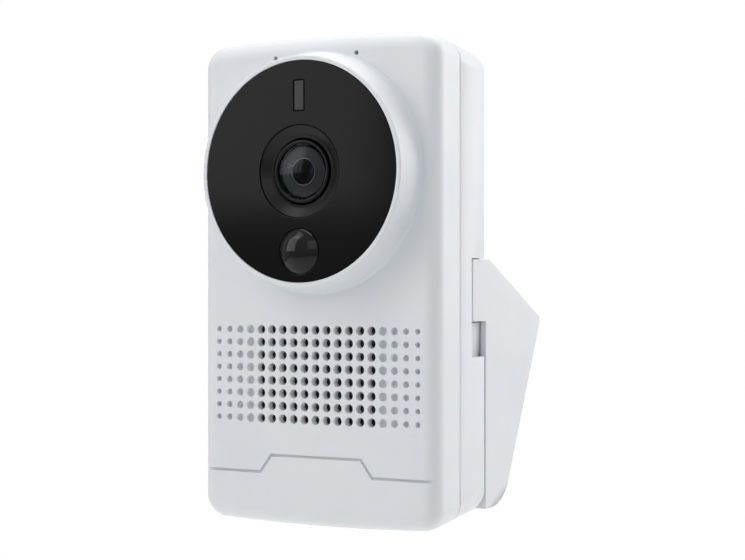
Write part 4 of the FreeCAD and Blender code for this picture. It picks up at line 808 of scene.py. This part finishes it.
    def shell_grid(self, loop: Loop) -> np.ndarray:
        """The shell's wall, from the flat face over the rounding and seam to the inner face.

        At depth d the side is moved inwards by slope * d. The rounding's circle touches the
        face and that leaning side: with its angle t from -90 degrees to the side's lean, it lies
        at inset + radius * cos t across and radius * (1 + sin t) back.

        Args:
            loop: the covers' outline.

        Returns:
            Rings by points by three coordinates.
        """
        slope = self.slope(loop)
        inset = self.inset(slope)
        rows = [(inset - self.collar, 0.0)]
        for share in np.linspace(0, 1, self.round_steps):
            turn = -math.pi / 2 + (np.arctan(slope) + math.pi / 2) * share
            rows.append((inset + self.front_round * np.cos(turn),
                         self.front_round * (1 + np.sin(turn))))
        last = float(self.seam - self.front)
        rows += [(-slope * depth, depth)
                 for depth in (last * self.side_share, last - self.seam_round)]
        for turn in np.linspace(0.25, 1, 4) * math.pi / 2:
            depth = last - self.seam_round * (1 - math.sin(turn))
            rows.append((-slope * depth - self.seam_round * (1 - math.cos(turn)), depth))
        rows += [(-slope * depth - self.wall, depth) for depth in (last, self.wall)]
        return ringed([(loop.moved(away), self.front + depth) for away, depth in rows])

    def with_groove(self, grid: np.ndarray, chosen: np.ndarray) -> np.ndarray:
        """Sinks the groove's strip of the rounded edge to the groove's floor.

        The strip lies between two neighbouring columns at each side, so each of them is
        doubled: the outer copy stays on the surface and the inner copy drops, until the
        rounding itself falls away below the floor.

        Args:
            grid: the shell's grid of points.
            chosen: the columns at the groove's two edges, two at each side.

        Returns:
            The grid with the doubled columns.
        """
        copies = np.where(chosen, 2, 1)
        made = np.repeat(grid, copies, axis=1)
        sunk = np.flatnonzero(np.repeat(chosen, copies)).reshape(-1, 4)[:, 1:3].ravel()
        rounding = slice(0, self.round_steps + 1)
        made[rounding, sunk, 1] = np.maximum(made[rounding, sunk, 1],
                                             self.front + self.groove_depth)
        return made

    def bezel_profile(self) -> np.ndarray:
        """The bezel ring's section, from the front face over the rim and down into the seat.

        Returns:
            (distance along Y, radius) of each point.
        """
        rim = self.front - self.bezel_stand
        window = extent("front_window")[1]
        seat, bore = window[1] + self.gasket, window[0] + self.play
        lean = math.degrees(math.atan2(self.bezel_base - self.bezel_rim, self.bezel_stand))
        # The blend's circle touches the front face and the leaning flank.
        foot = self.bezel_base + self.bezel_blend * math.tan(math.radians(45 - lean / 2))
        bow = arc((self.front - self.bezel_blend, foot), self.bezel_blend, 0, -(90 - lean), 8)
        # The first corner lies on the flank and only gives the rim's rounding its direction.
        rounds = rounded([(self.front - self.flank_rise, self.bezel_base - self.flank_lean, 0),
                          (rim, self.bezel_rim, self.rim_round), (rim, bore, self.bore_round),
                          (seat, bore, 0), (seat, bore - self.ledge, 0)], 8)
        end = self.front + self.wall - self.ring_gap
        return np.concatenate([[(self.front + self.bezel_root, foot)], bow, rounds[1:],
                               [(end, bore - self.ledge),
                                (end, self.face_opening - self.ring_inset)]])

    def hole_places(self) -> list[tuple[float, float, float, bool]]:
        """Where the grille's holes, its blind dimples and the microphone holes are.

        Returns:
            X, Z, radius and whether it goes through, of each.
        """
        found = []
        reach = self.open_columns + len(self.dimple_shares)
        for row in range(self.rows):
            z = self.grille[2] + (row - (self.rows - 1) / 2) * self.pitch
            for column in range(-reach, reach + 1):
                through = abs(column) <= self.open_columns
                share = 1 if through else self.dimple_shares[abs(column) - self.open_columns - 1]
                found.append((self.grille[0] + column * self.pitch, z, self.hole * share, through))
        return found + [(side * self.ear_x, self.ears, self.ear, True) for side in (-1, 1)]

    def hole_profile(self, radius: float, through: bool) -> np.ndarray:
        """The section of one hole: a rounded lip, its wall and, in a dimple, a shallow cone.

        Args:
            radius: the hole's radius.
            through: whether it opens into the casing.

        Returns:
            (distance along Y, radius) of each point.
        """
        lip = radius * self.lip_share
        mouth = radius + lip
        edge = arc((mouth, self.front + lip), lip, 270, 180, 5)[:, ::-1]
        if through:
            end = [(self.front + self.wall, radius)]
        else:
            floor = self.front + self.dimple_depth
            end = [(floor + depth, radius - less) for depth, less in self.dimple_end]
            end.append((floor + self.dimple_point, 0.0))
        return np.concatenate([[(self.front, mouth + self.hole_collar)], edge, end])

    def trench(self) -> tuple[np.ndarray, np.ndarray]:
        """The groove's lower and upper edge on the flat face."""
        path = self.groove_path()
        shift = np.array([0, -1, -1, 1, 1, 0]) * self.groove_shift * self.groove_width
        away = np.stack([shift, np.full(len(path), self.groove_width / 2)], 1)
        return path - away, path + away

    def front_cover(self) -> None:
        """Builds the front cover: rounded shell, bezel ring, grille, dimples and groove."""
        skin = Skin()
        x, z = self.eye[0], self.eye[2]
        inner = self.front + self.wall
        half = self.groove_width / 2
        low = self.groove_path()[0, 1]
        loop = self.outline((low - half, low + half))
        on_side = np.abs(loop.normals[:, 0]) > 0.999
        at_groove = np.abs(loop.points[:, 1] - low) < half + 1e-6
        skin.sheet(self.with_groove(self.shell_grid(loop), at_groove & on_side), around=True)

        # The bezel is wider than the flat face, so it is a closed ring that roots in the shell.
        skin.turned(self.bezel_profile(), x, z, self.bezel_steps, closed=True)
        skin.turned(np.array([(self.front, self.face_opening), (inner, self.face_opening)]),
                    x, z, self.bezel_steps)
        opening = circle(x, z, self.face_opening, self.bezel_steps).points
        face_holes, back_holes = [opening], [opening]
        for hole_x, hole_z, radius, through in self.hole_places():
            profile = self.hole_profile(radius, through)
            skin.turned(profile, hole_x, hole_z, self.hole_steps)
            face_holes.append(circle(hole_x, hole_z, profile[0, 1], self.hole_steps).points)
            if through:
                back_holes.append(circle(hole_x, hole_z, radius, self.hole_steps).points)
        lower, upper = self.trench()
        face_holes.append(np.concatenate([lower, upper[::-1]]))

        def in_trench(p: np.ndarray) -> np.ndarray:
            """Says which points lie between the groove's two edges."""
            return ((p[:, 1] > np.interp(p[:, 0], lower[:, 0], lower[:, 1]))
                    & (p[:, 1] < np.interp(p[:, 0], upper[:, 0], upper[:, 1])))

        slope = self.slope(loop)
        skin.flat(loop.moved(self.inset(slope) - self.collar), face_holes, self.front, in_trench)
        skin.flat(loop.moved(-slope * self.wall - self.wall), back_holes, inner)
        # The groove's walls and floor, across its section from lower to upper edge.
        floor = self.front + self.groove_depth
        skin.sheet(ringed([(lower, self.front), (lower, floor), (upper, floor),
                           (upper, self.front)]))
        skin.finish("front_cover_shell", "camera", CASING, ("front_cover",), "casing")

    def build(self) -> None:
        """Builds both covers."""
        self.front_cover()
        evened("rear_cover", "rear_cover_shell", "camera", CASING, "casing")


# ---- the window and what it carries ----


def dome(foot: float, radius: float, peak: float, steps: int) -> np.ndarray:
    """The half section of a spherical cap, from its peak on the axis to its foot.

    The sphere's radius is (radius squared + rise squared) / (2 rise).

    Args:
        foot: where the cap ends along Y.
        radius: its radius there.
        peak: its highest point along Y.
        steps: how many points.

    Returns:
        (distance along Y, radius) of each point.
    """
    rise = abs(foot - peak)
    sphere = (radius ** 2 + rise ** 2) / (2 * rise)
    turn = np.linspace(0, math.asin(min(radius / sphere, 1.0)), steps)
    way = math.copysign(1, foot - peak)
    return np.stack([peak + way * sphere * (1 - np.cos(turn)), sphere * np.sin(turn)], 1)


def radius_of(node: str) -> float:
    """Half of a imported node's width."""
    low, high = extent(node)
    return (high[0] - low[0]) / 2


@dataclass
class Window:
    """The round black plate with its lens opening, slot and detector opening."""

    edge: float = 0.12
    gap: float = 0.12
    collar: float = 0.1
    slot_corner: float = 0.35
    plug_play: float = 0.2
    plug_corner: float = 0.3
    plug_edge: float = 0.1
    flange_corner: float = 0.6
    dome_play: float = 0.05
    dome_wall: float = 0.8
    # The dome's inner cap ends this far behind the plate's front face.
    dome_ledge: float = 0.4

    def plate(self) -> None:
        """Builds the plate: two flat faces and the rounded walls of its rim and openings."""
        low, high = extent("front_window")
        eye, slot, detector = (middle(node) for node in (
            "front_window", "ir_window", "detector_lens"))
        width, height = self.slot_size()
        rim = circle(eye[0], eye[2], high[0] - eye[0], 288)
        openings = [circle(eye[0], eye[2], radius_of("lens_surround") - FLANGE + self.gap, 192),
                    slot_loop(slot[0], slot[2], width + 2 * self.gap, height + 2 * self.gap,
                              self.slot_corner),
                    circle(detector[0], detector[2],
                           radius_of("detector_lens") - FLANGE + self.gap, 128)]
        skin = Skin()
        mouth = self.edge + self.collar
        for loop, way in [(rim, -1)] + [(opening, 1) for opening in openings]:
            rings = [(loop.moved(way * mouth), low[1])]
            rings += [(loop.moved(way * self.edge * (1 - math.sin(turn))),
                       low[1] + self.edge * (1 - math.cos(turn)))
                      for turn in np.radians(np.linspace(0, 90, 5))]
            rings.append((loop.points, high[1]))
            skin.sheet(ringed(rings), around=True)
        skin.flat(rim.moved(-mouth), [loop.moved(mouth) for loop in openings], low[1])
        skin.flat(rim.points, [loop.points for loop in openings], high[1])
        skin.finish("front_window_plate", "camera", WINDOW, ("front_window",), "window")

    def slot_size(self) -> tuple[float, float]:
        """Width and height of the upright slot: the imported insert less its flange."""
        low, high = extent("ir_window")
        return high[0] - low[0] - 2 * FLANGE, high[2] - low[2] - 2 * FLANGE

    def slot_insert(self) -> None:
        """Builds the infra-red window: a rounded plug with a flange behind the plate."""
        low, high = extent("ir_window")
        centre = middle("ir_window")
        plate_back = extent("front_window")[1][1]
        width, height = self.slot_size()
        plug = slot_loop(centre[0], centre[2], width - self.plug_play, height - self.plug_play,
                         self.plug_corner)
        flange = slot_loop(centre[0], centre[2], width + 2 * FLANGE, height + 2 * FLANGE,
                           self.flange_corner)
        face = plug.moved(-2 * self.plug_edge)
        rings = [(face, low[1])]
        rings += [(plug.moved(-self.plug_edge * (1 - math.sin(turn))),
                   low[1] + self.plug_edge * (1 - math.cos(turn)))
                  for turn in np.radians(np.linspace(0, 90, 4))]
        rings += [(plug.points, plate_back), (flange.points, plate_back), (flange.points, high[1])]
        skin = Skin()
        skin.sheet(ringed(rings), around=True)
        skin.flat(face, [], low[1])
        skin.flat(flange.points, [], high[1])
        skin.finish("ir_window_insert", "camera", IR_WINDOW, ("ir_window",), "ir_filter_plastic")

    def detector(self) -> None:
        """Builds the motion detector's domed lens, a part of a sphere on a short skirt."""
        low, high = extent("detector_lens")
        rim = FLANGE + self.dome_play
        radius = radius_of("detector_lens") - rim
        bore = radius - self.dome_wall
        front, back = (corner[1] for corner in extent("front_window"))
        profile = np.concatenate([
            dome(front, radius, low[1], 26),
            [(back, radius), (back, radius + rim), (high[1], radius + rim), (high[1], bore)],
            dome(front + self.dome_ledge, bore, low[1] + self.dome_wall, 26)[::-1]])
        turned_piece("detector_dome", "detector_lens", profile, 128, DETECTOR, "detector_plastic",
                     closed=False)

    def build(self) -> None:
        """Builds the plate and its two inserts."""
        self.plate()
        self.slot_insert()
        self.detector()


@dataclass
class Lens:
    """The dished surround and the lens in it."""

    # The surround: its throat, and a slope that ends in a small lip round the throat.
    throat: float = 7.6
    slope_foot: float = 0.72
    lip_top: float = 0.34
    slope_depth: float = 1.5
    lip_depth: float = 1.2
    surround_sink: float = 0.1
    surround_wall: float = 1.0
    surround_flange: float = 0.5
    # The barrel: its bore, its neck with a thread, and the rim in front of the glass.
    bore: float = 5.2
    neck: float = 6.0
    thread_pitch: float = 0.5
    thread_depth: float = 0.16
    thread_ends: tuple[float, float] = (1.6, 0.3)
    thread_points: int = 90
    head_back: float = 1.4
    rim_width: float = 0.3
    rim_sink: float = 0.35
    play: float = 0.05
    # The front glass: a meniscus with a skirt, its mask and a bright bead at the mask's edge, a
    # painted highlight.
    glass_sink: float = 0.4
    glass_edge: float = 0.85
    skirt_wall: float = 0.75
    hollow_ledge: float = 0.3
    aperture: float = 3.05
    mask_from: float = 0.05
    mask_to: float = 0.2
    mask_play: float = 0.04
    mask_bevel: float = 0.1
    bead: float = 0.08
    bead_place: tuple[float, float] = (-0.04, 0.02)
    # The middle glass: rise and radius of its front cap, rise and rim of its back cap.
    middle_front: tuple[float, float] = (0.4, 3.2)
    middle_back: tuple[float, float] = (0.7, 0.55)
    # The retainer: its opening in front and behind, and the length of its bore.
    retainer_mouth: float = 3.65
    retainer_bore: float = 3.3
    retainer_land: float = 0.2

    def surround(self) -> None:
        """Builds the dished ring: a slope that falls towards the lens and ends in a small lip."""
        front, back = (corner[1] for corner in extent("front_window"))
        end = extent("lens_surround")[1][1]
        outer = radius_of("lens_surround")
        rim = outer - FLANGE
        front += self.surround_sink
        wall, flange = self.throat + self.surround_wall, back + self.surround_flange
        profile = rounded([
            (front, rim, 0.08), (front + self.slope_depth, self.throat + self.slope_foot, 0.2),
            (front + self.lip_depth, self.throat + self.lip_top, 0.12),
            (front + self.slope_depth, self.throat, 0.15), (end, self.throat, 0), (end, wall, 0),
            (flange, wall, 0), (flange, outer, 0), (back, outer, 0), (back, rim, 0)], 8)
        turned_piece("lens_surround_ring", "lens_surround", profile, 192, BLACK_PLASTIC,
                     "black_plastic")

    def barrel(self) -> None:
        """Builds the lens barrel with its head, its glass seat and the thread on its neck.

        The thread is a radius that swings between crest and root along the axis:
        neck - depth * (1 - cos(2 pi y / pitch)) / 2.
        """
        low, high = extent("lens_barrel")
        head = radius_of("lens_barrel")
        glass = radius_of("front_glass") + self.play
        seat = extent("front_glass")[1][1]
        start, end = seat + self.thread_ends[0], high[1] - self.thread_ends[1]
        along = np.linspace(start, end, self.thread_points)
        swing = 0.5 - 0.5 * np.cos(2 * np.pi * (along - start) / self.thread_pitch)
        thread = np.stack([along, self.neck - self.thread_depth * swing], 1)[::-1]
        back = seat + self.head_back
        front = rounded([
            (back, head, 0.1), (low[1], head, 0.3), (low[1], glass + self.rim_width, 0.06),
            (low[1] + self.rim_sink, glass, 0.06), (seat, glass, 0), (seat, self.bore, 0),
            (high[1], self.bore, 0), (high[1], self.neck - 0.1, 0.1)], 6)
        turned_piece("lens_barrel_turned", "lens_barrel",
                     np.concatenate([front, thread, [(back, self.neck)]]), 160, ANODISED,
                     "anodised_black")

    def front_glass(self) -> None:
        """Builds the front glass and, close behind it, the black mask with a bright bead at its
        edge, a painted highlight.
        """
        low, high = extent("front_glass")
        radius = radius_of("front_glass")
        foot = extent("lens_barrel")[0][1] + self.glass_sink
        ledge, skirt = foot + self.glass_edge, radius - self.skirt_wall
        hollow = dome(ledge, skirt - self.hollow_ledge, low[1] + self.glass_edge, 24)[::-1]
        glass = np.concatenate([dome(foot, radius, low[1], 30), [
            (high[1], radius), (high[1], skirt), (ledge, skirt)], hollow])
        turned_piece("front_glass_ground", "front_glass", glass, 160, GLASS, "lens_glass",
                     closed=False)
        near, far = ledge + self.mask_from, ledge + self.mask_to
        rim = skirt - self.mask_play
        mask = np.array([(near, rim), (near, self.aperture),
                         (far, self.aperture - self.mask_bevel), (far, rim)])
        turned_piece("front_glass_mask", "front_glass", mask, 128, MASK_PAINT, "black_plastic",
                     stands_in=False)
        # A thin ring of bright metal round the aperture: a painted highlight where the black
        # bevelled edge catches the light.
        bead = arc((ledge + self.bead_place[0], self.aperture + self.bead_place[1]), self.bead,
                   0, 360, 13)[:-1]
        turned_piece("front_glass_mask_highlight_bead", "front_glass", bead, 128, HIGHLIGHT_BEAD_METAL,
                     "anodised_black", stands_in=False)

    def middle_glass(self) -> None:
        """Builds the middle glass between two spherical faces."""
        low, high = extent("middle_glass")
        radius = radius_of("middle_glass")
        front, back = low[1] + self.middle_front[0], high[1] - self.middle_back[0]
        profile = np.concatenate([
            dome(front, self.middle_front[1], low[1], 20), [(front, radius), (back, radius)],
            dome(back, radius - self.middle_back[1], high[1], 20)[::-1]])
        turned_piece("middle_glass_ground", "middle_glass", profile, 128, BLUE_GLASS, "lens_glass",
                     closed=False)

    def retainer(self) -> None:
        """Builds the ring that holds the front glass, bevelled round its aperture."""
        low, high = extent("lens_retainer")
        outer = radius_of("lens_retainer")
        profile = rounded([
            (low[1], outer, 0.05), (low[1], self.retainer_mouth, 0.06),
            (high[1] - self.retainer_land, self.retainer_bore, 0.04),
            (high[1], self.retainer_bore, 0), (high[1], outer, 0)], 5)
        turned_piece("lens_retainer_turned", "lens_retainer", profile, 128, ANODISED,
                     "anodised_black")

    def build(self) -> None:
        """Builds the surround, the barrel and its glasses."""
        self.surround()
        self.barrel()
        self.front_glass()
        self.middle_glass()
        self.retainer()


# ---- grille cloth, bracket and everything that stays as packed ----


@dataclass
class Cloth:
    """The thin cloth stretched behind the grille."""

    slack: float = 0.03
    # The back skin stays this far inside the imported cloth, which leaves room for the slack.
    back_room: float = 0.04

    def build(self) -> None:
        """Builds the cloth: two skins of a rectangle whose middle eases back by a hair."""
        low, high = extent("grille_cloth")
        across = np.linspace(low[0], high[0], 60)
        up = np.linspace(low[2], high[2], 48)
        x, z = np.meshgrid(across, up)
        u = (x - low[0]) / (high[0] - low[0])
        v = (z - low[2]) / (high[2] - low[2])
        ease = self.slack * np.sin(np.pi * u) * np.sin(np.pi * v)
        front = np.stack([x, low[1] + ease, z], -1)
        back = np.stack([x, high[1] - self.back_room + ease, z], -1)
        skin = Skin()
        skin.sheet(front)
        skin.sheet(back)
        for edge in (np.s_[0], np.s_[-1], np.s_[:, 0], np.s_[:, -1]):
            skin.sheet(np.stack([front[edge], back[edge]]))
        piece = skin.finish("grille_cloth_sheet", "camera", CLOTH, ("grille_cloth",), "grille_cloth")


def slot_names() -> dict[str, str]:
    """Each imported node's material slot, as the record gives it."""
    return {part["node"]: part["material_slot"] for part in frame["record"]["subparts"]}


def even_rest() -> None:
    """Gives every node without a piece of its own an evened one, on its own body."""
    bodies = frame["record"]["behaviour"]["bodies"]
    slots = slot_names()
    shaped = {"front_cover", "rear_cover", "front_window", "ir_window", "detector_lens",
              "lens_surround", "lens_barrel", "front_glass", "middle_glass", "lens_retainer",
              "grille_cloth"}
    for body, nodes in bodies.items():
        for node in sorted(set(nodes) - shaped):
            evened(node, node + "_piece", body, SLOT_FINISHES[slots[node]], slots[node])


def dress_nodes() -> None:
    """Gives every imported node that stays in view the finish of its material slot."""
    slots = slot_names()
    for name, thing in frame["nodes"].items():
        finish = SLOT_FINISHES[slots[name]].dress()
        if thing.material_slots:
            for slot in thing.material_slots:
                slot.material = finish
        else:
            thing.data.materials.append(finish)


# ---- studio ----


@dataclass
class Studio:
    """A pale floor far below, a white surround and soft lights. Lengths are in metres."""

    floor_drop: float = 0.40
    floor_half: float = 1.3
    sensor_width_mm: float = 36.0
    focal_mm: float = 84.8
    lens_rise: float = 0.0034
    near: float = 0.01
    stand: tuple[float, float, float] = (0.2130, -0.3954, 0.0280)
    heading: float = 29.55
    focus: tuple[float, float, float] = (0.0, 0.0, 0.03)

    def floor(self) -> None:
        """Builds the floor: a square that stands for a white table top."""
        level = float(CAD_BOX[0][2]) - self.floor_drop
        side = np.linspace(-self.floor_half, self.floor_half, 3)
        x, y = np.meshgrid(side, side)
        skin = Skin()
        skin.sheet(np.stack([x, y, np.full_like(x, level)], -1) / MM)
        mesh = skin.mesh("floor")
        thing = bpy.data.objects.new("floor", mesh)
        bpy.context.scene.collection.objects.link(thing)
        # Matt white laminate with a very faint unevenness.
        laminate = Finish("white_laminate_matt", "#FAFAFA", "#F4F4F4", 0.8, Pattern.POLISHED,
                          60.0, 0.01)
        mesh.materials.append(laminate.dress())

    def surround(self) -> None:
        """Sets the surround: white where it is seen, dimmer and brighter above where it lights."""
        world = bpy.data.worlds.new("surround")
        world.use_nodes = True
        tree = world.node_tree
        tree.nodes.clear()
        way = add(tree, "ShaderNodeTexCoord").outputs["Generated"]
        rise = add(tree, "ShaderNodeSeparateXYZ", links={0: way}).outputs[2]
        level = add(tree, "ShaderNodeMapRange", {
            "From Min": -0.35, "From Max": 0.6, "To Min": 0.30, "To Max": 0.48}, {0: rise})
        lighting = add(tree, "ShaderNodeBackground", {"Color": linear("#FDFEFF")}, {
            "Strength": level.outputs[0]})
        seen = add(tree, "ShaderNodeBackground", {"Color": (1, 1, 1, 1), "Strength": 1.0})
        first = add(tree, "ShaderNodeLightPath").outputs["Is Camera Ray"]
        both = add(tree, "ShaderNodeMixShader", links={
            0: first, 1: lighting.outputs[0], 2: seen.outputs[0]})
        add(tree, "ShaderNodeOutputWorld", links={0: both.outputs[0]})
        bpy.context.scene.world = world

    def softbox(self, name: str, place: tuple[float, float, float],
                aim: tuple[float, float, float], size: tuple[float, float], power: float) -> None:
        """Adds one rectangular light.

        Args:
            name: the light's name.
            place: its middle in metres.
            aim: the point it faces.
            size: its width and height in metres.
            power: its power in watts.
        """
        light = bpy.data.lights.new(name, "AREA")
        light.shape = "RECTANGLE"
        light.size, light.size_y = size
        light.energy = power
        thing = bpy.data.objects.new(name, light)
        thing.location = place
        thing.rotation_euler = (Vector(aim) - Vector(place)).to_track_quat("-Z", "Y").to_euler()
        bpy.context.scene.collection.objects.link(thing)

    def view(self) -> None:
        """Adds the view: level, from the right of the lens, through a long lens."""
        data = bpy.data.cameras.new("view")
        data.sensor_width = self.sensor_width_mm
        data.lens = self.focal_mm
        data.shift_y = self.lens_rise
        data.clip_start = self.near
        thing = bpy.data.objects.new("view", data)
        thing.location = self.stand
        thing.rotation_euler = (math.radians(90), 0, math.radians(self.heading))
        bpy.context.scene.collection.objects.link(thing)
        bpy.context.scene.camera = thing

    def build(self) -> None:
        """Sets up the whole studio."""
        self.floor()
        self.surround()
        self.softbox("key_box", (-0.9, -1.1, 1.9), self.focus, (1.1, 0.9), 4.5)
        self.softbox("window_card", (-1.77, -1.2, 1.1), (-1.77, 0, 1.1), (2.3, 2.0), 28)
        self.softbox("fill_box", (1.0, -1.3, 0.8), self.focus, (1.0, 1.0), 2.6)
        self.softbox("side_box", (1.15, 1.25, 0.6), self.focus, (1.0, 1.2), 13.5)
        self.softbox("top_box", (0.1, 0.2, 1.2), self.focus, (1.2, 1.2), 12)
        self.view()
        bpy.context.scene.view_settings.view_transform = "Standard"


def main() -> None:
    """Builds the camera, piece by piece, in its studio."""
    logging.basicConfig(level=logging.INFO, format="%(name)s %(message)s")
    Studio().build()
    dress_nodes()
    Casing().build()
    Window().build()
    Lens().build()
    Cloth().build()
    even_rest()


if __name__ == "__main__":
    main()
